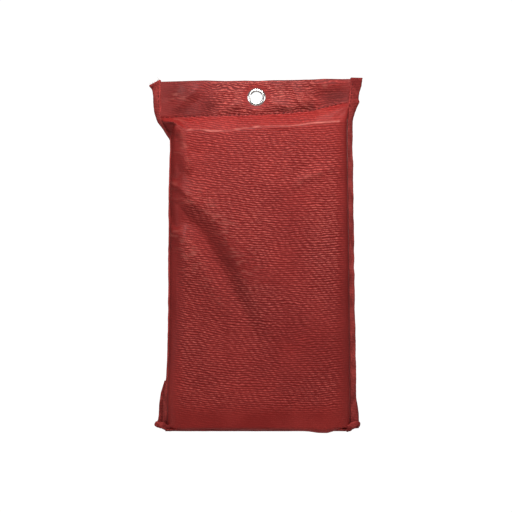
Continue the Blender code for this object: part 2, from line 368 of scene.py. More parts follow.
def sweep(
    name: str,
    origins: Array,
    outs: Array,
    acrosses: Array,
    sections: Array,
    material: bpy.types.Material,
) -> bpy.types.Object:
    """A closed band swept along a line of frames.

    Args:
        name: the piece's name.
        origins: a point for each frame.
        outs: each frame's first direction.
        acrosses: each frame's second direction.
        sections: for each frame, a ring of (out, across) places in metres.
        material: the finish.

    Returns:
        The new object.
    """
    frames, ring = sections.shape[:2]
    points = (
        origins[:, None, :]
        + sections[:, :, :1] * outs[:, None, :]
        + sections[:, :, 1:] * acrosses[:, None, :]
    )
    length = np.concatenate([[0], np.cumsum(np.linalg.norm(np.diff(origins, axis=0), axis=1))])
    around = np.cumsum(np.linalg.norm(np.diff(sections[0], axis=0, prepend=sections[0][:1]), axis=1))
    uv = np.stack([np.broadcast_to(around, (frames, ring)), np.repeat(length[:, None], ring, 1)], -1)
    faces = grid_faces(frames, ring, closed=True).tolist()
    faces.append(list(range(ring)))
    faces.append(list(range((frames - 1) * ring, frames * ring))[::-1])
    piece = make_piece(name, points.reshape(-1, 3), faces, material, uv.reshape(-1, 2))
    outwards(piece)
    return piece


def flat_section(low: float, high: float, thick: float, per_face: int = 8, round_steps: int = 4) -> Array:
    """The outline of a flat band with a rounded outer edge.

    Args:
        low: the inner edge's place.
        high: the outer edge's place.
        thick: the band's thickness.
        per_face: how many points lie on each flat face.
        round_steps: how many steps round the outer edge.

    Returns:
        The outline as a ring of (out, across) places.
    """
    radius = thick / 2
    flat = np.linspace(low, high - radius, per_face)
    turn = np.linspace(0, np.pi, round_steps + 2)[1:-1]
    front = np.stack([flat, np.full(per_face, radius)], -1)
    edge = np.stack([high - radius + radius * np.sin(turn), radius * np.cos(turn)], -1)
    back = np.stack([flat[::-1], np.full(per_face, -radius)], -1)
    return np.concatenate([front, edge, back])


# ---------------------------------------------------------------- finishes


class Graph:
    """Adds nodes to one node tree and links them."""

    def __init__(self, tree: bpy.types.NodeTree) -> None:
        """Keeps the tree."""
        self.tree = tree

    def add(self, kind: str, inputs: dict | None = None, **settings: object) -> bpy.types.Node:
        """Adds one node.

        Args:
            kind: the node's type, without its ShaderNode prefix.
            inputs: a value or an output socket for each input, by name or number.
            settings: the node's own settings.

        Returns:
            The new node.
        """
        prefix = "" if kind.startswith("Node") else "ShaderNode"
        node = self.tree.nodes.new(prefix + kind)
        for key, value in settings.items():
            setattr(node, key, value)
        for key, value in (inputs or {}).items():
            if isinstance(value, bpy.types.NodeSocket):
                self.tree.links.new(value, node.inputs[key])
            else:
                node.inputs[key].default_value = value
        return node

    def math(self, operation: str, *values: object, clamp: bool = False) -> bpy.types.NodeSocket:
        """Adds a Math node and gives its output."""
        node = self.add("Math", dict(enumerate(values)), operation=operation, use_clamp=clamp)
        return node.outputs[0]

    def mix(self, share: object, first: object, second: object) -> bpy.types.NodeSocket:
        """Mixes two colours and gives the result."""
        node = self.add("Mix", {0: share, 6: first, 7: second}, data_type="RGBA")
        return node.outputs[2]

    def noise(
        self, vector: object, scale: float, detail: float, rough: float = 0.55
    ) -> bpy.types.NodeSocket:
        """Adds a noise texture and gives its value."""
        inputs = {"Vector": vector, "Scale": scale, "Detail": detail, "Roughness": rough}
        return self.add("TexNoise", inputs).outputs[0]

    def ramp(self, value: object, low: float, high: float) -> bpy.types.NodeSocket:
        """Maps a value from low..high to 0..1."""
        node = self.add("MapRange", {0: value, 1: low, 2: high}, interpolation_type="SMOOTHSTEP")
        return node.outputs[0]

    def group(self, tree: bpy.types.NodeTree, inputs: dict) -> bpy.types.Node:
        """Places a node group with its own values."""
        return self.add("Group", inputs, node_tree=tree)

    def mark(self, name: str) -> bpy.types.NodeSocket:
        """Reads a named value that the mesh carries."""
        return self.add("Attribute", attribute_name=name).outputs["Fac"]

    def shape(self, shader: bpy.types.Node, colour: object, rough: object, bump: bpy.types.Node) -> None:
        """Links a finish's colour, roughness and bump to its shader.

        Args:
            shader: the shader.
            colour: the colour's socket.
            rough: the roughness's socket.
            bump: the bump node.
        """
        for socket, value in (("Base Color", colour), ("Roughness", rough), ("Normal", bump.outputs[0])):
            self.tree.links.new(value, shader.inputs[socket])


def new_group(name: str, inputs: Sequence[tuple[str, str]], outputs: Sequence[tuple[str, str]]) -> Graph:
    """Makes an empty node group with named sockets.

    Args:
        name: the group's name.
        inputs: (name, kind) of each input, where kind is Float, Vector or Color.
        outputs: the same for the outputs.

    Returns:
        A graph that adds to the group.
    """
    tree = bpy.data.node_groups.new(name, "ShaderNodeTree")
    for direction, sockets in (("INPUT", inputs), ("OUTPUT", outputs)):
        for socket, kind in sockets:
            tree.interface.new_socket(socket, in_out=direction, socket_type=f"NodeSocket{kind}")
    return Graph(tree)


def weave_group() -> bpy.types.NodeTree:
    """A plain weave: threads over and under each other, and the gaps between them.

    Returns:
        The group.
    """
    graph = new_group(
        "plain_weave",
        [("Place", "Vector"), ("Pitch", "Float"), ("Waver", "Float")],
        [("Height", "Float"), ("Over", "Float")],
    )
    given = graph.add("NodeGroupInput").outputs
    bend = graph.add("TexNoise", {"Vector": given["Place"], "Scale": 160.0, "Detail": 1.0})
    shift = graph.add("VectorMath", {0: bend.outputs[1], 1: (0.5, 0.5, 0.5)}, operation="SUBTRACT")
    scaled = graph.add("VectorMath", {0: shift.outputs[0], "Scale": given["Waver"]}, operation="SCALE")
    moved = graph.add("VectorMath", {0: given["Place"], 1: scaled.outputs[0]}, operation="ADD")
    parts = graph.add("SeparateXYZ", {0: moved.outputs[0]}).outputs
    waves = []
    for axis in (0, 1):
        turns = graph.math("DIVIDE", parts[axis], given["Pitch"])
        waves.append(graph.math("SINE", graph.math("MULTIPLY", turns, math.pi)))
    product = graph.math("MULTIPLY", waves[0], waves[1])
    height = graph.math("POWER", graph.math("ABSOLUTE", product), 0.55)
    over = graph.ramp(product, -0.25, 0.25)
    graph.add("NodeGroupOutput", {"Height": height, "Over": over})
    return graph.tree


def crinkle_group() -> bpy.types.NodeTree:
    """Fine level creases in a coated cloth, with the glints on their crests.

    Returns:
        The group.
    """
    graph = new_group(
        "coat_crinkle",
        [("Place", "Vector"), ("Across", "Float"), ("Down", "Float")],
        [("Height", "Float"), ("Glint", "Float")],
    )
    given = graph.add("NodeGroupInput").outputs
    parts = graph.add("SeparateXYZ", {0: given["Place"]}).outputs
    sway = graph.noise(given["Place"], 45.0, 2)
    down = graph.math("MULTIPLY_ADD", graph.math("SUBTRACT", sway, 0.5), 0.010, parts[1])
    across = graph.math("MULTIPLY", parts[0], given["Across"])
    scaled = graph.math("MULTIPLY", down, given["Down"])
    stretched = graph.add("CombineXYZ", {0: across, 1: scaled}).outputs[0]
    streak = graph.noise(stretched, 1.0, 2.5, 0.6)
    middle = graph.math("MULTIPLY_ADD", streak, 4.0, -2.0)
    crest = graph.math("SUBTRACT", 1.0, graph.math("ABSOLUTE", middle))
    spots = graph.ramp(graph.noise(stretched, 3.1, 1.0), 0.50, 0.68)
    glint = graph.math("MULTIPLY", graph.ramp(crest, 0.62, 1.0), spots, clamp=True)
    graph.add("NodeGroupOutput", {"Height": crest, "Glint": glint})
    return graph.tree


def dash_group() -> bpy.types.NodeTree:
    """Heavy weft ribs broken into dashes, from the rib and dash counts that the cloth carries.

    Returns:
        The group.
    """
    graph = new_group(
        "weft_dashes", [("Place", "Vector"), ("Rib", "Float"), ("Dash", "Float")], [("Height", "Float")]
    )
    given = graph.add("NodeGroupInput").outputs
    sway = graph.add("Mapping", {"Vector": given["Place"], "Scale": (120.0, 260.0, 1.0)}).outputs[0]
    shift = graph.math("MULTIPLY_ADD", graph.noise(sway, 1.0, 2, 0.6), 1.1, -0.55)
    waves = []
    for count in (graph.math("ADD", given["Rib"], shift), given["Dash"]):
        turn = graph.math("COSINE", graph.math("MULTIPLY", count, 2 * math.pi))
        waves.append(graph.math("MULTIPLY_ADD", turn, 0.5, 0.5))
    rib = graph.ramp(waves[0], 0.15, 0.80)
    share = graph.math("MULTIPLY_ADD", waves[1], 0.45, 0.55)
    spots = graph.add("Mapping", {"Vector": given["Place"], "Scale": (330.0, 1250.0, 1.0)}).outputs[0]
    broken = graph.ramp(graph.noise(spots, 1.0, 3, 0.7), 0.36, 0.60)
    broken = graph.math("MULTIPLY_ADD", broken, 0.65, 0.35)
    grain = graph.add("Mapping", {"Vector": given["Place"], "Scale": (620.0, 1900.0, 1.0)}).outputs[0]
    fine = graph.ramp(graph.noise(grain, 1.0, 2, 0.6), 0.46, 0.62)
    fine = graph.math("MULTIPLY", fine, 0.30)
    coarse = graph.math("MULTIPLY", graph.math("MULTIPLY", rib, share), broken)
    height = graph.math("ADD", coarse, graph.math("MULTIPLY", fine, waves[0]), clamp=True)
    graph.add("NodeGroupOutput", {"Height": height})
    return graph.tree


def wear_group() -> bpy.types.NodeTree:
    """Broad patches and fine specks of handling and dust.

    Returns:
        The group.
    """
    graph = new_group(
        "handling_wear",
        [("Place", "Vector"), ("Patch", "Float"), ("Speck", "Float")],
        [("Patches", "Float"), ("Specks", "Float")],
    )
    given = graph.add("NodeGroupInput").outputs
    broad = graph.add("TexNoise", {"Vector": given["Place"], "Scale": given["Patch"], "Detail": 4.0})
    fine = graph.add("TexNoise", {"Vector": given["Place"], "Scale": given["Speck"], "Detail": 2.0})
    patches, specks = graph.ramp(broad.outputs[0], 0.35, 0.70), graph.ramp(fine.outputs[0], 0.62, 0.78)
    graph.add("NodeGroupOutput", {"Patches": patches, "Specks": specks})
    return graph.tree


@dataclass
class Effects:
    """The node groups that several finishes share."""

    weave: bpy.types.NodeTree = field(default_factory=weave_group)
    crinkle: bpy.types.NodeTree = field(default_factory=crinkle_group)
    dashes: bpy.types.NodeTree = field(default_factory=dash_group)
    wear: bpy.types.NodeTree = field(default_factory=wear_group)


def start_material(name: str, **constants: object) -> tuple[bpy.types.Material, Graph, bpy.types.Node]:
    """A new material with its constant shader sockets set.

    Args:
        name: the material's name.
        constants: shader sockets by name, with _ for a blank.

    Returns:
        The material, its graph and its shader.
    """
    made = bpy.data.materials.new(name)
    made.use_nodes = True
    shader = made.node_tree.nodes["Principled BSDF"]
    for socket, value in constants.items():
        shader.inputs[socket.replace("_", " ")].default_value = value
    return made, Graph(made.node_tree), shader


@dataclass(frozen=True)
class CoatedCloth:
    """Red coated Oxford cloth: a fine weave under a satin coat, crinkled in level streaks."""

    name: str = "red_cloth"
    # The dark colour is the painted shade's, the glint colour that of the painted highlights.
    dark: tuple = (0.050, 0.0020, 0.0022, 1)
    deep: tuple = (0.160, 0.0050, 0.0046, 1)
    clear: tuple = (0.540, 0.0530, 0.0430, 1)
    glint: tuple = (0.76, 0.240, 0.190, 1)
    pitch: float = 0.55 * MM

    def make(self, effects: Effects) -> bpy.types.Material:
        """Builds the material.

        Args:
            effects: the shared node groups.

        Returns:
            The material.
        """
        made, graph, shader = start_material(
            self.name, Specular_IOR_Level=0.20, Coat_Weight=0.03, Coat_Roughness=0.35
        )
        place = graph.add("UVMap", uv_map="cloth").outputs[0]
        marks = {name: graph.mark(name) for name in ("streak", "rub", "rib", "dash", "shade")}
        weave = graph.group(effects.weave, {"Place": place, "Pitch": self.pitch, "Waver": 0.0010}).outputs
        counts = {"Place": place, "Rib": marks["rib"], "Dash": marks["dash"]}
        dashes = graph.group(effects.dashes, counts).outputs["Height"]
        streak = graph.math("MULTIPLY", dashes, marks["streak"])
        crinkle = graph.group(effects.crinkle, {"Place": place, "Across": 260.0, "Down": 800.0}).outputs
        wear = graph.group(effects.wear, {"Place": place, "Patch": 26.0, "Speck": 900.0}).outputs
        # The rib crests are painted lighter and the gaps darker: the weave's pattern together with painted
        # highlight and painted shade.
        ribs = graph.math("MULTIPLY", graph.math("MULTIPLY_ADD", dashes, 1.50, -0.36), marks["streak"])
        tone = graph.math("MULTIPLY_ADD", wear["Patches"], 0.14, ribs)
        tone = graph.math("ADD", tone, graph.math("MULTIPLY", weave["Height"], 0.24), clamp=True)
        wear_and_rib_light = graph.mix(tone, self.deep, self.clear)
        # Painted shade: the coat is mixed towards the dark colour where the shade mark is low.
        colour = graph.mix(marks["shade"], graph.mix(0.66, wear_and_rib_light, self.dark), wear_and_rib_light)
        # Painted highlights: glints on the crinkle and rib crests and along the fold ridges, mixed towards
        # the glint colour.
        shine = graph.math("MULTIPLY_ADD", crinkle["Glint"], 0.55, 0.26)
        shine = graph.math("MULTIPLY", shine, graph.ramp(streak, 0.35, 0.95))
        shine = graph.math("MULTIPLY", shine, graph.math("MULTIPLY_ADD", marks["shade"], 0.5, 0.55))
        shine = graph.math("MAXIMUM", shine, graph.math("MULTIPLY", marks["rub"], 0.52))
        colour = graph.mix(shine, colour, self.glint)
        rough = graph.math("MULTIPLY_ADD", wear["Patches"], 0.10, 0.68)
        rough = graph.math("SUBTRACT", rough, graph.math("MULTIPLY", marks["shade"], 0.22))
        rough = graph.math("SUBTRACT", rough, graph.math("MULTIPLY", streak, 0.10))
        fine = graph.add("Bump", {"Height": weave["Height"], "Strength": 0.35, "Distance": 0.00016})
        height = graph.math("MULTIPLY_ADD", crinkle["Height"], 0.25, streak)
        relief = {"Height": height, "Strength": 0.70, "Distance": 0.00055, "Normal": fine.outputs[0]}
        bump = graph.add("Bump", relief)
        graph.shape(shader, colour, rough, bump)
        return made


@dataclass(frozen=True)
class RibbedTape:
    """A woven tape with cross ribs: the red edge binding, or the black pull webbing."""

    name: str
    dark: tuple
    light: tuple
    rib: float
    rough: float
    sheen: float
    bump: float

    def make(self, effects: Effects) -> bpy.types.Material:
        """Builds the material.

        Args:
            effects: the shared node groups.

        Returns:
            The material.
        """
        made, graph, shader = start_material(
            self.name, Specular_IOR_Level=0.12, Sheen_Weight=self.sheen, Sheen_Roughness=0.5
        )
        place = graph.add("UVMap", uv_map="cloth").outputs[0]
        fine = {"Place": place, "Pitch": self.rib * 0.5, "Waver": 0.0006}
        weave = graph.group(effects.weave, fine).outputs
        wear = graph.group(effects.wear, {"Place": place, "Patch": 90.0, "Speck": 1400.0}).outputs
        down = graph.add("SeparateXYZ", {0: place}).outputs[1]
        rib = graph.math("SINE", graph.math("MULTIPLY", down, 2 * math.pi / self.rib))
        ribs = graph.math("MULTIPLY_ADD", rib, 0.5, 0.5)
        height = graph.math("MULTIPLY_ADD", ribs, 0.8, graph.math("MULTIPLY", weave["Height"], 0.5))
        raised = graph.math("MULTIPLY", height, 0.42)
        tone = graph.math("MULTIPLY_ADD", wear["Patches"], 0.50, raised, clamp=True)
        colour = graph.mix(tone, self.dark, self.light)
        fuzz = graph.math("MULTIPLY", wear["Specks"], 0.35)
        pale = tuple(min(1, 1.6 * part + 0.02) for part in self.light[:3]) + (1,)
        colour = graph.mix(fuzz, colour, pale)
        # Painted shade: the tape is mixed towards its dark colour at the bottom corners and beside the
        # header on the right.
        colour = graph.mix(graph.mark("grime"), colour, self.dark)
        rough = graph.math("MULTIPLY_ADD", wear["Patches"], 0.10, self.rough)
        bump = graph.add("Bump", {"Height": height, "Strength": self.bump, "Distance": 0.00030})
        graph.shape(shader, colour, rough, bump)
        return made


@dataclass(frozen=True)
class GlassWeave:
    """Woven glass fibre: pale, dense and slightly silky."""

    name: str = "woven_glass"

    def make(self, effects: Effects) -> bpy.types.Material:
        """Builds the material.

        Args:
            effects: the shared node groups.

        Returns:
            The material.
        """
        made, graph, shader = start_material(
            self.name, Specular_IOR_Level=0.5, Sheen_Weight=0.08, Sheen_Roughness=0.3
        )
        place = graph.add("UVMap", uv_map="cloth").outputs[0]
        weave = graph.group(effects.weave, {"Place": place, "Pitch": 1.1 * MM, "Waver": 0.0008}).outputs
        wear = graph.group(effects.wear, {"Place": place, "Patch": 12.0, "Speck": 500.0}).outputs
        tone = graph.math("MULTIPLY_ADD", weave["Height"], 0.6, graph.math("MULTIPLY", weave["Over"], 0.25))
        colour = graph.mix(tone, (0.46, 0.44, 0.39, 1), (0.80, 0.79, 0.74, 1))
        dust = graph.math("MULTIPLY", wear["Patches"], 0.22)
        colour = graph.mix(dust, colour, (0.62, 0.57, 0.46, 1))
        rough = graph.math("MULTIPLY_ADD", weave["Over"], 0.12, 0.50)
        bump = graph.add("Bump", {"Height": weave["Height"], "Strength": 0.6, "Distance": 0.00025})
        graph.shape(shader, colour, rough, bump)
        return made


@dataclass(frozen=True)
class Nickel:
    """Pressed nickel plate with fine turning marks and a few dull spots."""

    name: str = "eyelet_nickel"

    def make(self, effects: Effects) -> bpy.types.Material:
        """Builds the material.

        Args:
            effects: the shared node groups.

        Returns:
            The material.
        """
        made, graph, shader = start_material(self.name, Metallic=1.0)
        place = graph.add("TexCoord").outputs["Object"]
        wear = graph.group(effects.wear, {"Place": place, "Patch": 260.0, "Speck": 2600.0}).outputs
        fine = graph.noise(place, 5200.0, 2)
        dull = graph.math("MULTIPLY", wear["Specks"], 0.5)
        colour = graph.mix(dull, (0.80, 0.79, 0.77, 1), (0.42, 0.40, 0.38, 1))
        rough = graph.math("MULTIPLY_ADD", wear["Patches"], 0.14, 0.14)
        bump = graph.add("Bump", {"Height": fine, "Strength": 0.03, "Distance": 0.00005})
        graph.shape(shader, colour, rough, bump)
        return made


@dataclass(frozen=True)
class Fuzz:
    """The soft or stiff pile of the fastening pads, and the thread of the stitches."""

    name: str
    dark: tuple
    light: tuple
    grain: float
    sheen: float

    def make(self, effects: Effects) -> bpy.types.Material:
        """Builds the material.

        Args:
            effects: the shared node groups.

        Returns:
            The material.
        """
        made, graph, shader = start_material(
            self.name, Specular_IOR_Level=0.3, Sheen_Weight=self.sheen, Sheen_Roughness=0.6
        )
        place = graph.add("TexCoord").outputs["Object"]
        wear = graph.group(effects.wear, {"Place": place, "Patch": 140.0, "Speck": self.grain}).outputs
        twist = graph.noise(place, self.grain, 2)
        tone = graph.math("MULTIPLY_ADD", twist, 0.6, graph.math("MULTIPLY", wear["Patches"], 0.4))
        colour = graph.mix(tone, self.dark, self.light)
        rough = graph.math("MULTIPLY_ADD", wear["Patches"], 0.12, 0.70)
        bump = graph.add("Bump", {"Height": twist, "Strength": 0.6, "Distance": 0.00015})
        graph.shape(shader, colour, rough, bump)
        return made


@dataclass
class Finishes:
    """Every finish of the object, built once."""

    effects: Effects = field(default_factory=Effects)

    def __post_init__(self) -> None:
        """Makes the materials."""
        binding = RibbedTape(
            "red_binding", (0.135, 0.0095, 0.0095, 1), (0.58, 0.080, 0.070, 1), 1.3 * MM, 0.75, 0.0, 1.0
        )
        webbing = RibbedTape(
            "black_webbing", (0.006, 0.006, 0.007, 1), (0.040, 0.040, 0.043, 1), 1.6 * MM, 0.55, 0.20, 0.9
        )
        pile = Fuzz("hook_and_loop", (0.10, 0.007, 0.007, 1), (0.26, 0.022, 0.020, 1), 2400.0, 0.5)
        thread = Fuzz("red_thread", (0.05, 0.003, 0.003, 1), (0.20, 0.012, 0.011, 1), 3800.0, 0.0)
        dark = Fuzz("black_thread", (0.010, 0.010, 0.011, 1), (0.055, 0.055, 0.060, 1), 3800.0, 0.25)
        self.cloth = CoatedCloth().make(self.effects)
        self.binding = binding.make(self.effects)
        self.webbing = webbing.make(self.effects)
        self.glass = GlassWeave().make(self.effects)
        self.nickel = Nickel().make(self.effects)
        self.pile = pile.make(self.effects)
        self.thread = thread.make(self.effects)
        self.black_thread = dark.make(self.effects)


# ---------------------------------------------------------------- the pouch's cloth


# The side seams' run from the base to the header: (height, place across), in millimetres.
SEAM_RUN: dict[Side, Table] = {
    Side.LEFT: (
        (0, -72.6), (30, -72.4), (42, -71.6), (52, -71.2), (100, -70.5), (190, -70.0), (220, -69.4),
        (230, -68.7), (236, -68.9), (240.6, -71.0), (244, -72.6), (247, -74.4), (250, -75.8), (254, -77.2),
        (258, -77.9), (290, -79.4),
    ),
    Side.RIGHT: (
        (0, 76.2), (40, 76.0), (90, 75.4), (150, 74.7), (200, 73.9), (240, 73.3), (253, 73.6), (258, 74.4),
        (290, 78.0),
    ),
}
SEAM_LINE: Table = (
    (-80, 253.0), (-60, 254.2), (-33, 255.2), (-5, 255.6), (15, 256.4), (30, 257.6), (45, 259.0),
    (57, 262.0), (68, 264.6), (80, 265.4),
)
FRONT_RIDGE: Table = (
    (-80, 250.2), (-67, 249.6), (-63, 246.0), (-59.8, 242.6), (-54, 243.4), (-49, 243.9), (-36, 242.2),
    (-25, 242.4), (-15, 244.0), (-8, 244.6), (0, 245.8), (13, 246.8), (26, 246.4), (34, 247.2),
    (44, 248.7), (58, 249.5), (66, 250.2), (72, 251.5), (80, 253.0),
)
HEADER_EDGE: Table = (
    (-80, -2.2), (-60, -1.9), (-40, -1.2), (-25, -1.6), (-10, -1.2), (0, -1.5), (12, -0.9), (25, -1.0),
    (40, -0.6), (52, 0.1), (66, 0.0), (80, 0.3),
)
BASE_LINE: Table = (
    (-80, 2.2), (-74, 2.0), (-69, 1.2), (-64, 0.9), (-50, 1.4), (-20, 1.5), (0, 1.4), (26, 1.1), (42, 0.4),
    (50, -0.8), (57, -0.9), (62, 0.5), (66, 2.2), (70, 2.7), (75, 1.7), (80, 1.6),
)

# How far the blanket holds the front cloth out: (place across, distance), in millimetres.
BLANKET_REACH: Table = (
    (-69, 0.0), (-67.8, 4.2), (-65, 8.2), (-62.5, 9.6), (-58.5, 10.3), (-50, 10.1), (58, 10.1), (65, 9.0),
    (69.5, 2.0), (71, 0.0),
)

HEADER_FOLDS = (
    Crease(((-66, 260), (-56, 269), (-46, 279)), 2.4, (7, 4)),
    Crease(((-58, 258), (-50, 263), (-41, 272)), -1.8, (4, 4)),
    Crease(((-76, 262), (-68, 268), (-60, 279)), 1.3, (4, 3)),
    Crease(((-36, 258), (-28, 265), (-20, 272)), -1.9, (4, 5)),
    Crease(((-30, 256), (-20, 262), (-10, 264)), 1.6, (4, 3)),
    Crease(((8, 266), (20, 263), (33, 259)), 1.4, (4, 4)),
    Crease(((27, 279), (33, 270), (37, 262), (42, 259)), 2.6, (6, 2.6)),
    Crease(((47, 270), (58, 268.5), (72, 270.5)), -2.6, (5.5, 5)),
    Crease(((14, 281), (20, 274), (24, 267)), 1.0, (3, 4)),
    Crease(((40, 281), (56, 280.5), (74, 282)), 1.5, (4, 5), True),
    Crease(((-76, 283), (-40, 281), (0, 281), (40, 283)), 0.7, (3, 4), True),
)
# Painted shade along the front's fold valleys, as creases whose lift is how far they darken the coat.
FRONT_FOLD_SHADE = (
    Crease(((-76, 177), (-52, 176), (-41, 167), (-31, 151), (-18, 128), (-6, 102), (4, 80)), 0.46, (8, 6)),
    Crease(((-74, 208), (-60, 207), (-54, 199)), 0.26, (6, 5)),
    Crease(((-66, 246), (-62, 235), (-58, 222)), 0.16, (4, 5)),
    Crease(((14, 186), (32, 200), (44, 213)), 0.20, (4, 4)),
)
FRONT_FOLDS = (
    Crease(
        ((-112, 178), (-58, 172), (-46, 163), (-36, 147), (-23, 123), (-10, 97), (4, 66)), -3.9, (7.5, 4.5)
    ),
    Crease(((-100, 190), (-60, 187), (-44, 181), (-31, 168), (-19, 147), (-8, 121), (4, 92)), 3.0, (24, 6)),
    Crease(((-112, 172), (-60, 160), (-50, 145), (-41, 129), (-31, 111), (-20, 92)), 3.8, (5.0, 13)),
    Crease(((-61, 246), (-56, 228), (-54, 214), (-61, 200)), 2.2, (2.6, 7)),
    Crease(((-84, 212), (-58, 209), (-52, 202)), -2.6, (4, 5)),
    Crease(((-80, 203), (-62, 197), (-54, 190), (-46, 182)), 2.3, (5, 2.6)),
    Crease(((-84, 233), (-62, 226), (-56, 219)), 1.2, (3, 5)),
    Crease(((-62, 158), (-57, 140), (-57, 118)), 0.9, (5, 4)),
    Crease(((-58, 232), (-50, 226), (-40, 222)), -0.8, (4, 4)),
    Crease(((29, 202), (36, 211), (43, 217)), -1.5, (3.4, 3.4)),
    Crease(((28, 195), (38, 204), (52, 210), (64, 213)), 1.5, (5, 3.4)),
    Crease(((-4, 88), (8, 62), (20, 40)), -0.8, (9, 9)),
    Crease(((30, 120), (44, 96), (52, 70)), 0.6, (8, 10)),
    Crease(((-50, 60), (-30, 36), (-6, 26)), 0.6, (9, 8)),
)
SHOULDER_FOLDS = (
    Crease(((5, 244.4), (20, 245.4), (34, 247.2)), 0.8, (1.2, 1.6)),
    Crease(((-74, 252.4), (-64, 251.6), (-54, 249.5)), 0.9, (1.5, 1.8)),
    Crease(((62, 252), (68, 256), (74, 262)), -1.6, (2.5, 3)),
    Crease(((50, 256), (60, 259), (70, 262), (78, 263)), 2.2, (3.5, 4), True),
)
BACK_HEADER_FOLDS = (
    Crease(((-60, 262), (-44, 270), (-30, 280)), 1.3, (7, 6)),
    Crease(((24, 260), (36, 268), (56, 276)), 1.2, (6, 6)),
    Crease(((-20, 262), (-10, 266)), -0.8, (5, 5)),
)
BACK_FOLDS = (
    Crease(((-58, 232), (-30, 214), (10, 206), (48, 214)), -1.1, (9, 8)),
    Crease(((60, 230), (40, 190), (26, 150)), 0.9, (9, 10)),
    Crease(((-56, 180), (-44, 140), (-40, 100)), 0.9, (8, 8)),
    Crease(((-20, 120), (4, 104), (30, 100)), -0.8, (9, 8)),
)

# Patches of painted shade on the header, with a line of it along the top edge: (across, height, half width,
# half height) in millimetres, and depth.
HEADER_SHADE_PATCHES = (
    (62, 271, 13, 5.5, 0.80), (-60, 259, 13, 4.5, 0.50), (-38, 262, 6, 7, 0.45), (-30, 279, 22, 3, 0.30),
    (-62, 275, 14, 5, 0.35), (44, 262, 3, 5, 0.5), (18, 260, 9, 2.5, 0.30), (-40, 284, 40, 1.6, 0.45),
    (40, 285, 40, 1.5, 0.35),
)


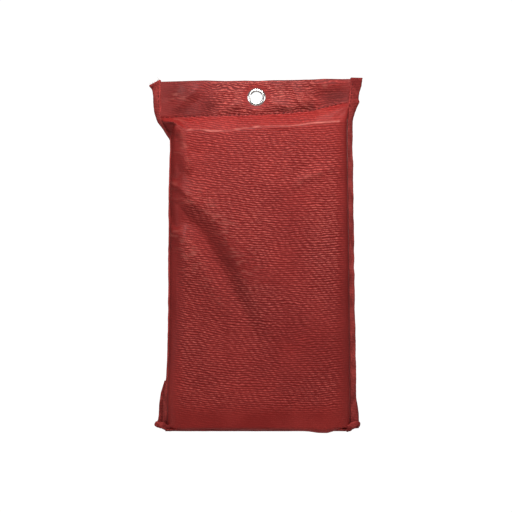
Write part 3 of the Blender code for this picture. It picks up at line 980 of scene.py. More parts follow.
@dataclass
class ClothWall:
    """One wall of the pouch: header layer, shoulder and broad face in one cut of cloth."""

    places: Places
    face: Face
    header_folds: Sequence[Crease]
    face_folds: Sequence[Crease]
    ridge: Table
    seed: int
    columns: int = 112
    header_rows: int = 42
    shoulder_rows: int = 20
    face_rows: int = 310
    roll_rows: int = 10
    thickness: float = 0.6 * MM
    layer: float = 0.55 * MM
    square: float = 14.0
    corner: float = 2.6
    crown: float = 2.2 * MM
    header_bulge: float = 1.1 * MM
    streak_lift: float = 0.08 * MM
    rib_pitch: float = 1.82 * MM
    dash_pitch: float = 5.2 * MM
    facet_depth: float = 3.4 * MM
    tuck_depth: float = 7.0 * MM
    cut_radius: float = 4.4 * MM
    hole_radius: float = 5.8 * MM
    soil: Sequence[Crease] = ()
    stains: Sequence[tuple[float, float, float, float, float]] = HEADER_SHADE_PATCHES

    @property
    def name(self) -> str:
        """The piece's name."""
        return f"pouch_{self.face.name.lower()}_cloth"

    def section(self) -> tuple[Array, Array]:
        """The wall's cross-section from seam to seam, in even steps along the cloth.

        Returns:
            The place across, from -1 to 1, and the share of the full depth there.
        """
        q = np.sin(np.linspace(-np.pi / 2, np.pi / 2, 2001))
        share = np.clip(1 - np.abs(q) ** self.square, 0, 1) ** (1 / self.corner)
        depth = self.places.front_depth if self.face is Face.FRONT else self.places.back_depth
        steps = np.hypot(np.diff(q) * self.places.half, np.diff(share) * depth)
        run = np.concatenate([[0], np.cumsum(steps)])
        even = np.linspace(0, run[-1], self.columns)
        return np.interp(even, run, q), np.interp(even, run, share)

    def across(self, q: Array, z: Array) -> Array:
        """The place across at a share of the width, between the two side seams."""
        left, right = along(SEAM_RUN[Side.LEFT], z), along(SEAM_RUN[Side.RIGHT], z)
        return left + (right - left) * (q + 1) / 2

    def phases(self, x: Array, z: Array) -> tuple[Array, Array]:
        """How many ribs and how many dashes lie before each place.

        The ribs of the heavy weft sag gently and are broken into short dashes that step down to the right.

        Args:
            x: places across, in metres.
            z: places up, in metres.

        Returns:
            The two counts, which need not be whole.
        """
        sway = 0.60 * cloth_noise(x / 0.022, z / 0.016, self.seed)
        sway = sway + 0.24 * cloth_noise(x / 0.008, z / 0.006, self.seed + 1)
        step = 0.75 * cloth_noise(x / 0.016, z / 0.012, self.seed + 2)
        loose = eased(self.places.hinge.z - 0.001, self.places.hinge.z + 0.004, z)
        sway = sway + 0.75 * loose * cloth_noise(x / 0.0085, z / 0.0050, self.seed + 14)
        rib = (z + 0.06 * x - 0.9 * x * x) / self.rib_pitch + sway
        return rib, x / self.dash_pitch + z / 0.0058 + step

    def streaks(self, x: Array, z: Array) -> Array:
        """The height of the ribs and dashes, from 0 to 1."""
        rib, dash = (0.5 + 0.5 * np.cos(2 * np.pi * count) for count in self.phases(x, z))
        return rib**1.4 * (0.35 + 0.65 * dash)

    def streak_share(self, x: Array, z: Array) -> Array:
        """How strongly the streaks show: full in the middle, faint at the sides, base and shoulder.

        Args:
            x: places across, in metres.
            z: places up, in metres.

        Returns:
            The share at each place, from 0 to 1.
        """
        start = np.interp(z, [0.0, 0.10, 0.20, 0.25], [-0.064, -0.062, -0.056, -0.058])
        side = eased(-0.007, 0.006, x - start) * (1 - eased(0.062, 0.0735, x))
        heights, strengths = (0.03, 0.10, 0.17, 0.21, 0.25), (0.70, 0.80, 0.96, 0.80, 0.62)
        low = eased(0.009, 0.027, z) * np.interp(z, heights, strengths)
        patches = 0.84 + 0.22 * cloth_noise(x / 0.028, z / 0.036, self.seed + 3)
        slant = (x + 0.060) * 0.8 + (z - 0.175)
        fold = 1 - 0.45 * np.exp(-((slant / 0.012) ** 2)) * (z > 0.12)
        return np.clip(side * low * patches * fold, 0.06, 1)

    def header(self, q: Array) -> tuple[Array, Array, Array, Array]:
        """The rows above the cross seam.

        Args:
            q: the places across, from -1 to 1.

        Returns:
            The three coordinates and the streaks' strength, a row for each height.
        """
        p = self.places
        down = np.linspace(1, 0, self.header_rows, endpoint=False)[:, None]
        guess = self.across(q[None, :], np.full((1, len(q)), p.hinge.z))
        low = (along(SEAM_LINE, guess) - p.hinge.z) / math.cos(p.lean)
        high = p.header_height + along(HEADER_EDGE, guess)
        h = low + (high - low) * down
        x = self.across(q[None, :], p.hinge.z + h * math.cos(p.lean))
        z = p.hinge.z + h * math.cos(p.lean)
        away = np.hypot(x - p.eyelet.x, (z - p.eyelet.z) / math.cos(p.lean))
        free = eased(0.0070, 0.0125, away)
        edge = 1 - 0.7 * eased(0.062, 0.076, np.abs(x))
        near_seam = eased(0.0, 0.004, h - low)
        bumps = lifted(self.header_folds, x, z) + 0.5 * MM * cloth_noise(x / 0.014, z / 0.007, self.seed + 5)
        share = 0.30 + 0.70 * eased(-0.050, -0.025, x) * (1 - 0.7 * eased(0.044, 0.052, x))
        share = share * free * edge
        bumps = bumps + self.streak_lift * 0.7 * share * self.streaks(x, z)
        up = np.clip((h - low) / (high - low), 0, 1)
        bumps = bumps + self.header_bulge * np.sin(np.pi * up**0.8) * (1 - (x / 0.08) ** 4)
        out = self.layer + bumps * free * edge * near_seam
        out = np.maximum(out, self.layer * 0.7)
        y = p.seam + h * math.sin(p.lean) + self.face.value * out * math.cos(p.lean)
        z = z - self.face.value * out * math.sin(p.lean)
        return x, y, z, np.clip(share, 0, 1)

    def body(self, q: Array, share: Array) -> tuple[Array, Array, Array, Array]:
        """The rows from the cross seam down to the end of the cloth.

        Args:
            q: the places across, from -1 to 1.
            share: the depth's share at each place across.

        Returns:
            The three coordinates and the streaks' strength.
        """
        p = self.places
        front = self.face is Face.FRONT
        depth = p.front_depth if front else p.back_depth
        base = 4.5 * MM if front else p.hem_bottom
        guess = self.across(q, np.full(len(q), p.hinge.z - 0.006))
        top, ridge = along(SEAM_LINE, guess), along(self.ridge, guess)
        if not front:
            top = np.minimum(top, p.hinge.z - 0.0005)
        t = np.linspace(0, 1, self.shoulder_rows)[:, None]
        s = np.linspace(0, 1, self.face_rows + 1)[1:, None]
        z = np.concatenate([top + (ridge - top) * t, ridge + (base - ridge) * s])
        slope = np.concatenate([t**0.82 * np.ones_like(top), np.ones_like(s) * np.ones_like(top)])
        x = self.across(q[None, :], z)
        sag = np.concatenate([np.zeros_like(t), s]) * np.ones_like(top)
        crown = self.crown * np.sin(np.pi * np.clip(sag, 0, 1) ** 0.55) * (1 - (q[None, :]) ** 2)
        strength = self.streak_share(x, z) * (0.75 + 0.25 * eased(0.0, 0.03, sag))
        folds = lifted(self.face_folds, x, z)
        soft = 0.35 * MM * cloth_noise(x / 0.030, z / 0.045, self.seed + 6)
        soft = soft + 0.16 * MM * cloth_noise(x / 0.011, z / 0.016, self.seed + 7)
        fade = np.clip(share[None, :] * 1.15, 0, 1)
        d = depth * slope * share[None, :] + (crown + (folds + soft)) * fade * np.clip(slope * 1.6, 0, 1)
        d = d + self.streak_lift * strength * self.streaks(x, z)
        pucker = 0.55 * MM * np.sin(x * 2 * np.pi / 0.0062) * np.exp(-((z - top) / 0.0026) ** 2)
        d = d + pucker * (0.5 + 0.5 * cloth_noise(x / 0.012, z / 0.03, self.seed + 8))
        if front:
            facet = eased(-0.0560, -0.0675, x) * eased(0.05, 0.10, z) * (1 - eased(0.236, 0.247, z))
            d = d - self.facet_depth * facet - self.tuck(x, z)
            inside = eased(0.002, 0.007, z) * (1 - eased(0.236, 0.243, z))
            d = np.maximum(d, along(BLANKET_REACH, x) * inside)
        d = np.maximum(d, self.layer)
        if front:
            floor = along(BASE_LINE, x[-1])
            turn = np.linspace(0, np.pi / 2, self.roll_rows)[1:, None]
            last = d[-1:]
            radius = np.minimum(base, last * 0.8)
            roll_d = last - radius * (1 - np.cos(turn))
            roll_z = base - (base - floor) * np.sin(turn)
            under_d = roll_d[-1:] - np.array([[0.0015], [0.003]])
            d = np.concatenate([d, roll_d, np.maximum(under_d, self.layer)])
            z = np.concatenate([z, roll_z, roll_z[-1:] + np.array([[0.0], [0.0002]])])
            x, strength = (
                np.concatenate([values, np.repeat(values[-1:], self.roll_rows + 1, 0)])
                for values in (x, strength)
            )
        return x, p.seam + self.face.value * d, z, strength

    def tuck(self, x: Array, z: Array) -> Array:
        """The pocket under the left shoulder, where the side seam turns back and the cloth caves in.

        Args:
            x: places across, in metres.
            z: places up, in metres.

        Returns:
            How far the cloth caves in at each place, in metres.
        """
        rim = (0.2496 - z) - 0.10 * (x + 0.070)
        fold_line = -0.0652 - 0.24 * (0.2496 - z)
        inner = eased(0.0, 0.0016, fold_line + 0.0008 - x)
        under = eased(0.0, 0.0014, rim) * (1 - eased(0.0105, 0.0150, rim))
        return self.tuck_depth * inner * under

    def build(self, finishes: Finishes) -> bpy.types.Object:
        """Builds the wall and bakes its transform.

        Args:
            finishes: the object's finishes.

        Returns:
            The cloth.
        """
        p = self.places
        q, share = self.section()
        upper, lower = self.header(q), self.body(q, share)
        x, y, z, strength = (np.concatenate(pair) for pair in zip(upper, lower))
        for values in (y, z):
            soft = values.copy()
            soft[1:-1] = 0.25 * values[:-2] + 0.5 * values[1:-1] + 0.25 * values[2:]
            values[:] = soft
        flat = np.stack([x, y, z], -1)
        run = np.cumsum(np.hypot(np.diff(y, axis=0, prepend=y[:1]), np.diff(z, axis=0, prepend=z[:1])), 0)
        middle = len(q) // 2
        uv = np.stack([x, np.repeat(-run[:, middle : middle + 1], len(q), 1)], -1)
        rib, dash = self.phases(x, z)
        marks = {"streak": strength, "rub": self.rubbed(x, z), "rib": rib, "dash": dash}
        marks["shade"] = self.shade(x, z)
        marks = {mark: values.ravel() for mark, values in marks.items()}
        points = flat.reshape(-1, 3)
        faces = grid_faces(x.shape[0], len(q))
        if self.face is Face.BACK:
            faces = faces[:, ::-1]
        points, faces = self.punch(points, faces)
        piece = make_piece(self.name, points, faces, finishes.cloth, uv.reshape(-1, 2), marks)
        thicken(piece, self.thickness)
        side = self.face.name.lower()
        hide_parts(f"header_{side}_layer", f"{side}_panel")
        if self.face is Face.BACK:
            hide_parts("cross_seam_roll")
        p.bend_at_seam(piece)
        log_size(piece)
        return piece

    def rubbed(self, x: Array, z: Array) -> Array:
        """Painted highlights: broken glints along the shoulder's fold and on the crests of raised creases.

        Args:
            x: places across, in metres.
            z: places up, in metres.

        Returns:
            The share at each place, from 0 to 1.
        """
        ridge = along(self.ridge, x)
        breaks = eased(0.0, 0.5, cloth_noise(x / 0.0048, z / 0.0030, self.seed + 9))
        steady = 0.15 + 0.50 * eased(0.010, 0.045, x)
        line = np.exp(-(((z - ridge) / 0.0006) ** 2)) * (steady + (1 - steady) * breaks)
        other = np.zeros_like(x)
        for crease in (*self.face_folds, *self.header_folds):
            if crease.lift > 0.7:
                other = np.maximum(other, crease.height(x, z) / (crease.lift * MM))
        specks = eased(0.15, 0.65, cloth_noise(x / 0.0050, z / 0.0014, self.seed + 10))
        return np.clip(line * (np.abs(x) < 0.066) * 0.95 + other**2 * specks * 0.34, 0, 1)

    def shade(self, x: Array, z: Array) -> Array:
        """The painted shade of the coat: paler at the top of the body and darker lower down, near the side
        seams, in the fold valleys and over the header.

        Args:
            x: places across, in metres.
            z: places up, in metres.

        Returns:
            The share at each place, from 0 to 1.
        """
        # Painted shade down the body: paler near the top, darker lower down.
        body = np.interp(z, [0.0, 0.03, 0.08, 0.15, 0.22, 0.25], [0.95, 0.84, 0.72, 0.76, 0.90, 1.0])
        # Painted shade: the header is painted darker than the body, with random tone, and darker still in
        # its patches of painted shade.
        header = 0.62 + 0.20 * cloth_noise(x / 0.022, z / 0.009, self.seed + 12)
        for across, height, wide, tall, depth in self.stains:
            far = ((x / MM - across) / wide) ** 2 + ((z / MM - height) / tall) ** 2
            header = header - depth * np.exp(-far)
        if self.face is Face.FRONT:
            share = eased(-0.0010, 0.0006, z - along(SEAM_LINE, x))
        else:
            share = eased(self.places.hinge.z - 0.003, self.places.hinge.z + 0.001, z)
        # Painted shade close to the side seams and in the front's fold valleys.
        near = np.minimum(x - along(SEAM_RUN[Side.LEFT], z), along(SEAM_RUN[Side.RIGHT], z) - x)
        body = body * (0.76 + 0.24 * eased(0.0, 3.5 * MM, near)) - lifted(self.soil, x, z) / MM
        return np.clip(body * (1 - share) + header * share, 0, 1)

    def punch(self, points: Array, faces: Array) -> tuple[Array, Array]:
        """Cuts the eyelet's hole in the header.

        Args:
            points: the cloth's points.
            faces: the cloth's faces.

        Returns:
            The points, drawn back to the hole's edge, and the faces that are left.
        """
        p = self.places
        across = np.array([1.0, 0.0, 0.0])
        up = np.array([0.0, math.sin(p.lean), math.cos(p.lean)])
        rel = points - np.array(p.eyelet)
        a, b = rel @ across, rel @ up
        radius = np.hypot(a, b)
        inside = radius[faces].min(1) < self.cut_radius
        close = (radius < self.hole_radius) & (radius > 0.3 * MM)
        push = np.where(close, self.hole_radius / np.maximum(radius, 1e-6) - 1, 0)
        moved = points + (a * push)[:, None] * across + (b * push)[:, None] * up
        return moved, faces[~inside]


# ---------------------------------------------------------------- the closing flap


@dataclass
class Flap:
    """The lower end of the front cloth: across the mouth and up behind the back, with its hem."""

    places: Places
    thickness: float = 0.6 * MM
    rib_pitch: float = 2.15 * MM
    dash_pitch: float = 5.6 * MM
    streak: float = 0.45
    shade: float = 0.40
    columns: int = 96
    seed: int = 61

    def grid(self, name: str, path: Array, finishes: Finishes, ripple: float) -> bpy.types.Object:
        """A cloth whose side view is a path.

        Args:
            name: the piece's name.
            path: (y, z) points in metres.
            finishes: the object's finishes.
            ripple: how far the cloth waves, in metres.

        Returns:
            The cloth.
        """
        p = self.places
        q = np.linspace(-1, 1, self.columns)
        step = np.gradient(path, axis=0)
        normal = np.stack([step[:, 1], -step[:, 0]], -1)
        normal /= np.linalg.norm(normal, axis=1)[:, None]
        run = np.concatenate([[0], np.cumsum(np.linalg.norm(np.diff(path, axis=0), axis=1))])
        x = np.repeat((q * (p.half + 1.5 * MM))[None, :], len(path), 0)
        along_run = np.repeat(run[:, None], len(q), 1)
        wave = ripple * cloth_noise(x / 0.016, along_run / 0.010, self.seed)
        wave = wave + 0.3 * ripple * cloth_noise(x / 0.006, along_run / 0.003, self.seed + 1)
        y = path[:, :1] + normal[:, :1] * wave
        z = path[:, 1:] + normal[:, 1:] * wave
        points = np.stack([x, y, z], -1).reshape(-1, 3)
        uv = np.stack([x, -along_run], -1).reshape(-1, 2)
        sway = 0.5 * cloth_noise(x / 0.02, z / 0.02, self.seed + 1)
        marks = {
            "streak": np.full(len(points), self.streak),
            "rub": np.zeros(len(points)),
            "rib": (-along_run / self.rib_pitch + sway).ravel(),
            "dash": (x / self.dash_pitch - along_run / 0.0058).ravel(),
            "shade": np.full(len(points), self.shade),
        }
        piece = make_piece(name, points, grid_faces(len(path), len(q)), finishes.cloth, uv, marks)
        thicken(piece, self.thickness, 0)
        outwards(piece)
        return piece

    def build_floor(self, finishes: Finishes) -> bpy.types.Object:
        """The part across the mouth, from the front panel's lower edge.

        Args:
            finishes: the object's finishes.

        Returns:
            The cloth.
        """
        p = self.places
        y = np.linspace(p.front_fold.y + 1.1 * MM, p.back_fold.y - 1.5 * MM, 40)
        rise = 1.5 * MM * np.exp(-(((y - y[0]) / 0.0012) ** 2))
        path = np.stack([y, p.front_fold.z + 0.1 * MM + rise], -1)
        piece = self.grid("flap_floor_cloth", path, finishes, 0.12 * MM)
        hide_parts("flap_floor")
        p.bend_at_front_fold(piece)
        return piece

    def build_upright(self, finishes: Finishes) -> bpy.types.Object:
        """The part behind the back panel, with its doubled hem, which turns at the back fold.

        Args:
            finishes: the object's finishes.

        Returns:
            The cloth.
        """
        p = self.places
        radius = 2.2 * MM
        turn = np.linspace(0, np.pi / 2, 8)
        back = p.back_fold.y
        low = p.front_fold.z - 0.35 * MM
        floor = np.stack([np.linspace(back - 8 * MM, back - radius, 6), np.full(6, low)], -1)
        bend = np.stack([back - radius + radius * np.sin(turn), low + radius * (1 - np.cos(turn))], -1)[1:]
        top = p.flap_top - 0.4 * MM
        rise = np.linspace(low + radius, top - 0.5 * MM, 34)[1:]
        upright = np.stack([np.full(33, back), rise], -1)
        fold = np.linspace(0, np.pi, 6)[1:]
        hem = 0.5 * MM
        over = np.stack([back + hem - hem * np.cos(fold), top - hem + hem * np.sin(fold)], -1)
        down = np.stack([np.full(6, back + 1.0 * MM), np.linspace(top - 1.5 * MM, top - 6 * MM, 6)], -1)
        path = np.concatenate([floor, bend, upright, over, down])
        piece = self.grid("flap_back_cloth", path, finishes, 0.16 * MM)
        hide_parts("flap_panel")
        p.bend_at_back_fold(piece)
        return piece

    def build(self, finishes: Finishes) -> None:
        """Builds the flap's two cloths."""
        for piece in (self.build_floor(finishes), self.build_upright(finishes)):
            log_size(piece)


# ---------------------------------------------------------------- the edge binding


# How far the folded tape shows beyond its seam: (height, width), in millimetres.
SHOWN: dict[Side, Table] = {
    Side.LEFT: (
        (0, 3.6), (8, 3.4), (20, 3.2), (32, 2.2), (45, 1.0), (60, 0.5), (232, 0.3), (237, 0.6),
        (240.6, 1.6), (244, 2.5), (247, 3.1), (250, 4.0), (254, 4.0), (257, 4.6), (262, 4.9), (270, 4.9),
        (276, 5.6), (279.5, 6.6), (282, 7.6), (290, 8.0),
    ),
    Side.RIGHT: (
        (0, 6.8), (6, 7.0), (12, 6.4), (19, 5.6), (27, 4.8), (60, 4.6), (78, 4.8), (95, 4.2), (150, 4.1),
        (200, 4.2), (245, 4.0), (251, 4.0), (255, 4.6), (258, 5.2), (262, 6.4), (266, 8.1), (269, 6.8),
        (273, 6.8), (276, 7.4), (279, 8.2), (290, 8.6),
    ),
}

# How far painted shade darkens the tape: (height in metres, share).
TAPE_SHADE: dict[Side, Table] = {
    Side.LEFT: ((0.0, 0.66), (0.007, 0.60), (0.013, 0.22), (0.045, 0.10), (0.060, 0.0), (0.29, 0.0)),
    Side.RIGHT: (
        (0.0, 0.70), (0.007, 0.62), (0.014, 0.30), (0.045, 0.12), (0.060, 0.0), (0.262, 0.0),
        (0.269, 0.50), (0.29, 0.62),
    ),
}

# Where the loose threads stand out of the frayed end: (across, height), in millimetres.
LOOSE_THREADS: Table = ((-86.0, 280.6), (-84.2, 281.2), (-82.0, 282.0), (-80.2, 283.8), (-79.0, 284.2))

# How far out the tape beside the flap reaches: (height, place across), in millimetres.
FLAP_REACH: dict[Side, Table] = {
    Side.LEFT: ((0, 82.0), (4, 81.4), (11, 80.3), (20, 79.9), (29, 78.6), (35, 76.8), (39, 75.6)),
    Side.RIGHT: ((0, 84.6), (5, 84.2), (12, 84.0), (18, 83.2), (25, 81.9), (32, 80.8), (39, 79.6)),
}


@dataclass
class EdgeBinding:
    """The folded tape sewn round one side: beside the header, down the pouch and round the flap."""

    places: Places
    side: Side
    width: float = 8.8 * MM
    thick: float = 2.3 * MM
    inner: float = 1.4 * MM
    seed: int = 7

    def build_side(self, finishes: Finishes) -> bpy.types.Object:
        """The tape from the header's top to the pouch's mouth.

        Args:
            finishes: the object's finishes.

        Returns:
            The tape.
        """
        p = self.places
        s = self.side.value
        top = p.hinge.z + (p.header_height + (1.2 * MM if s > 0 else -1.0 * MM)) * math.cos(p.lean)
        z = np.linspace(top, 1.6 * MM, 236)
        shown = np.clip(along(SHOWN[self.side], z), 0, self.width * 0.995)
        shown = shown + 0.22 * MM * cloth_noise(z / 0.006, z * 0 + 0.5, self.seed + s)
        turned = np.arccos(np.clip(shown / self.width, -1, 1))
        lean = p.lean * eased(p.hinge.z - 3 * MM, p.hinge.z + 3 * MM, z)
        above = np.maximum(z - p.hinge.z, 0)
        x = along(SEAM_RUN[self.side], z)
        y = p.seam + above * math.tan(p.lean)
        zeros = np.zeros_like(z)
        outs = np.stack([s * np.cos(turned), np.sin(turned), zeros], -1)
        acrosses = np.stack([s * np.sin(turned), -np.cos(turned) * np.cos(lean), np.sin(lean)], -1)
        origins = np.stack([x, y, z], -1)
        sections = []
        for height in z:
            header = float(eased(p.hinge.z - 2 * MM, p.hinge.z + 6 * MM, np.array(height)))
            scallop = 0.10 * MM * math.sin(2 * math.pi * height / 0.0034)
            puff = 0.25 * MM * float(cloth_noise(np.array(height / 0.008), np.array(2.5), self.seed + 3))
            thick = self.thick * (0.86 + 0.14 * header) + puff
            low = -(self.inner * (0.4 + 0.6 * header))
            ring = flat_section(low, self.width + scallop, thick)
            wave = cloth_noise(ring[:, 0] / 0.004, np.full(len(ring), height / 0.007), self.seed + 4)
            ring[:, 1] += 0.25 * MM * wave
            sections.append(ring)
        name = f"{self.side.word}_edge_tape"
        piece = sweep(name, origins, outs, acrosses, np.array(sections), finishes.binding)
        if self.side is Side.LEFT:
            self.fray(piece, top, finishes)
        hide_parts(f"{self.side.word}_header_binding", f"{self.side.word}_side_binding")
        p.bend_at_seam(piece)
        return piece

    def mark_grime(self, piece: bpy.types.Object) -> None:
        """Marks where the tape is painted darker as painted shade, in patches.

        Args:
            piece: the tape.
        """
        points = vertex_places(piece)
        share = np.interp(points[:, 2], *np.array(TAPE_SHADE[self.side]).T)
        patches = cloth_noise(points[:, 0] / 0.0024, points[:, 2] / 0.0030, self.seed + 60)
        grime = share * (1 + 0.6 * patches)
        mark = piece.data.attributes.new("grime", "FLOAT", "POINT")
        mark.data.foreach_set("value", np.clip(grime, 0, 1).astype(np.float32))

    def fray(self, piece: bpy.types.Object, top: float, finishes: Finishes) -> None:
        """Cuts the tape's top askew, with a ragged notch, and lets a few threads stand out of it.

        Args:
            piece: the tape.
            top: the height of its upper end.
            finishes: the object's finishes.
        """
        p = self.places
        points = vertex_places(piece)
        out = (along(SEAM_RUN[self.side], points[:, 2]) - points[:, 0]) / (7.0 * MM)
        near = eased(top - 9 * MM, top, points[:, 2])
        slant = 3.4 * out + 1.0 * np.exp(-(((out - 0.45) / 0.16) ** 2))
        ragged = 0.35 * cloth_noise(points[:, 0] / 0.0011, points[:, 1] / 0.0009, self.seed + 50)
        points[:, 2] -= (np.clip(slant, -0.6, 4.0) + ragged) * MM * near
        piece.data.vertices.foreach_set("co", points.ravel())
        piece.data.update()
        rng = np.random.default_rng(5)
        steps = np.linspace(0, 1, 7)[:, None]
        turn = np.arange(6) * np.pi / 3
        ring = 0.13 * MM * np.stack([np.cos(turn), np.sin(turn)], -1)
        sections = ring[None] * np.linspace(1, 0.5, 7)[:, None, None]
        outs, acrosses = np.repeat([[1.0, 0.0, 0.0]], 7, 0), np.repeat([[0.0, 1.0, 0.0]], 7, 0)
        deep = p.seam + 0.024 * math.tan(p.lean)
        for n, (x, z) in enumerate(LOOSE_THREADS):
            lean = rng.uniform(-0.9, 0.5)
            way = np.array([[math.sin(lean), 0.0, math.cos(lean)]])
            curl = np.array([[0.5 * (n % 2) - 0.2, -0.3, 0.0]])
            start = np.array([[x * MM, deep + rng.uniform(-0.6, 0.6) * MM, z * MM]])
            length = rng.uniform(1.2, 2.4) * MM
            line = start - way * 1.2 * MM + (way * steps + curl * steps**2) * (length + 1.2 * MM)
            thread = sweep(f"loose_thread_{n + 1}", line, outs, acrosses, sections, finishes.thread)
            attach(thread, "header")

    def build_floor(self, finishes: Finishes) -> bpy.types.Object:
        """The tape beside the mouth, pinched into a roll at the front corner.

        Args:
            finishes: the object's finishes.

        Returns:
            The tape.
        """
        p = self.places
        s = self.side.value
        steps = 40
        y = np.linspace(p.front_fold.y + 2.2 * MM, p.back_fold.y - 0.5 * MM, steps)
        share = (y - y[0]) / (y[-1] - y[0])
        pinch = np.exp(-((share / 0.16) ** 2))
        root = (-72.2 if s < 0 else 75.2) * MM
        tilt = np.radians((13 if s < 0 else 20) + 6 * share + 5 * np.sin(share * 9))
        zeros = np.zeros(steps)
        origins = np.stack([zeros + root, y, 1.9 * MM + 2.4 * MM * pinch + 0.2 * MM * share], -1)
        outs = np.stack([s * np.cos(tilt), zeros, np.sin(tilt)], -1)
        acrosses = np.stack([-s * np.sin(tilt), zeros, np.cos(tilt)], -1)
        sections = []
        for n in range(steps):
            end = math.sqrt(max(1 - (1 - min(share[n] / 0.07, 1)) ** 2, 0.08))
            thick = (2.2 + (3.0 if s < 0 else 3.8) * pinch[n]) * MM * end
            width = (11.0 if s < 0 else 9.6) * MM * (0.90 + 0.10 * end) * (0.86 + 0.14 * pinch[n])
            ragged = 1 + 0.10 * float(cloth_noise(np.array(n / 2.2), np.array(0.5), self.seed + 27))
            ring = flat_section(-3.0 * MM, width * ragged, thick, 12, 5)
            lump = cloth_noise(ring[:, 0] / 0.0026, np.full(len(ring), n / 2.6), self.seed + 20 + s)
            ring[:, 1] += 1.05 * MM * lump * (0.35 + pinch[n])
            crush = cloth_noise(ring[:, 1] / 0.0015, np.full(len(ring), n / 2.0), self.seed + 24)
            ring[:, 0] += 0.35 * MM * crush
            sections.append(ring)
        name = f"{self.side.word}_mouth_tape"
        piece = sweep(name, origins, outs, acrosses, np.array(sections), finishes.binding)
        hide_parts(f"{self.side.word}_floor_binding")
        p.bend_at_front_fold(piece)
        return piece

    def build_back(self, finishes: Finishes) -> bpy.types.Object:
        """The tape up the side of the flap behind the back panel.

        Args:
            finishes: the object's finishes.

        Returns:
            The tape.
        """
        p = self.places
        s = self.side.value
        steps = 44
        z = np.linspace(0.8 * MM, p.flap_top - 0.2 * MM, steps)
        outer = along(FLAP_REACH[self.side], z)
        root = 71.6 * MM if s < 0 else 74.0 * MM
        zeros = np.zeros_like(z)
        sway = 0.5 * MM * cloth_noise(z / 0.012, zeros + 1.5, self.seed + 30)
        origins = np.stack([zeros + s * root, p.back_fold.y + 0.1 * MM + sway, z], -1)
        outs = np.stack([zeros + s, zeros, zeros], -1)
        acrosses = np.stack([zeros, zeros - 1, zeros], -1)
        sections = []
        for n in range(steps):
            end = min(1.0, (n + 1) / 3, (steps - n) / 3)
            thick = (2.1 + 0.3 * math.sin(n * 1.3)) * MM * (0.45 + 0.55 * end)
            ring = flat_section(-0.5 * MM, outer[n] - root, thick)
            wave = cloth_noise(ring[:, 0] / 0.004, np.full(len(ring), n / 4.0), self.seed + 31)
            ring[:, 1] += 0.3 * MM * wave
            sections.append(ring)
        name = f"{self.side.word}_flap_tape"
        piece = sweep(name, origins, outs, acrosses, np.array(sections), finishes.binding)
        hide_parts(f"{self.side.word}_flap_binding")
        p.bend_at_back_fold(piece)
        return piece

    def build(self, finishes: Finishes) -> None:
        """Builds the three lengths of tape.

        Args:
            finishes: the object's finishes.
        """
        for piece in (self.build_side(finishes), self.build_floor(finishes), self.build_back(finishes)):
            self.mark_grime(piece)
            log_size(piece)


# ---------------------------------------------------------------- stitches


@dataclass
class Stitcher:
    """Sews rows of thread stitches along lines that lie on the cloth."""

    finishes: Finishes
    length: float = 2.5 * MM
    gap: float = 1.1 * MM
    radius: float = 0.36 * MM
    sides: int = 6

    def row(self, line: Array, away: Array) -> tuple[list[Array], list[list[int]]]:
        """The stitches of one line.

        Args:
            line: points along the seam.
            away: the direction out of the cloth at each point.

        Returns:
            The points and faces of the stitches.
        """
        run = np.concatenate([[0], np.cumsum(np.linalg.norm(np.diff(line, axis=0), axis=1))])
        starts = np.arange(self.gap, run[-1] - self.length, self.length + self.gap)
        shares = np.array([0.0, 0.12, 0.5, 0.88, 1.0])
        sizes = np.array([0.35, 0.85, 1.0, 0.85, 0.35])
        lifts = np.array([-0.7, 0.25, 0.75, 0.25, -0.7])
        points: list[Array] = []
        faces: list[list[int]] = []
        for start in starts:
            at = start + shares * self.length
            centre = np.stack([np.interp(at, run, line[:, k]) for k in range(3)], -1)
            out = np.stack([np.interp(at, run, away[:, k]) for k in range(3)], -1)
            out /= np.linalg.norm(out, axis=1)[:, None]
            ahead = centre[-1] - centre[0]
            side = np.cross(ahead, out)
            side /= np.linalg.norm(side, axis=1)[:, None]
            centre = centre + out * (lifts * self.radius)[:, None]
            base = len(points)
            for k in range(len(shares)):
                for turn in np.arange(self.sides) * np.pi / 3:
                    ring = side[k] * math.cos(turn) + out[k] * math.sin(turn) * 0.8
                    points.append(centre[k] + ring * self.radius * sizes[k])
            for ring_start in range(base, len(points) - self.sides, self.sides):
                for m in range(self.sides):
                    a, b = ring_start + m, ring_start + (m + 1) % self.sides
                    faces.append([a, b, b + self.sides, a + self.sides])
            faces.append([base + m for m in reversed(range(self.sides))])
            faces.append([len(points) - self.sides + m for m in range(self.sides)])
        return points, faces

    def sew(
        self,
        name: str,
        lines: Sequence[tuple[Array, Array]],
        place: Callable[[bpy.types.Object], object],
        slot: str,
        material: bpy.types.Material | None = None,
    ) -> bpy.types.Object:
        """Makes one piece of several rows of stitches.

        Args:
            name: the piece's name.
            lines: for each row, its points and the directions out of the cloth.
            place: what is done with the piece once made: baking its transform, or tying it to its body.
            slot: not used.
            material: the thread's finish, if not the red one.

        Returns:
            The stitches.
        """
        points: list[Array] = []
        faces: list[list[int]] = []
        for line, away in lines:
            more, more_faces = self.row(line, away)
            faces += [[k + len(points) for k in face] for face in more_faces]
            points += more
        piece = make_piece(name, np.array(points), faces, material or self.finishes.thread)
        outwards(piece)
        place(piece)
        log.info("%s: %d stitches", name, len(points) // 30)
        return piece


# ---------------------------------------------------------------- the hanging eyelet


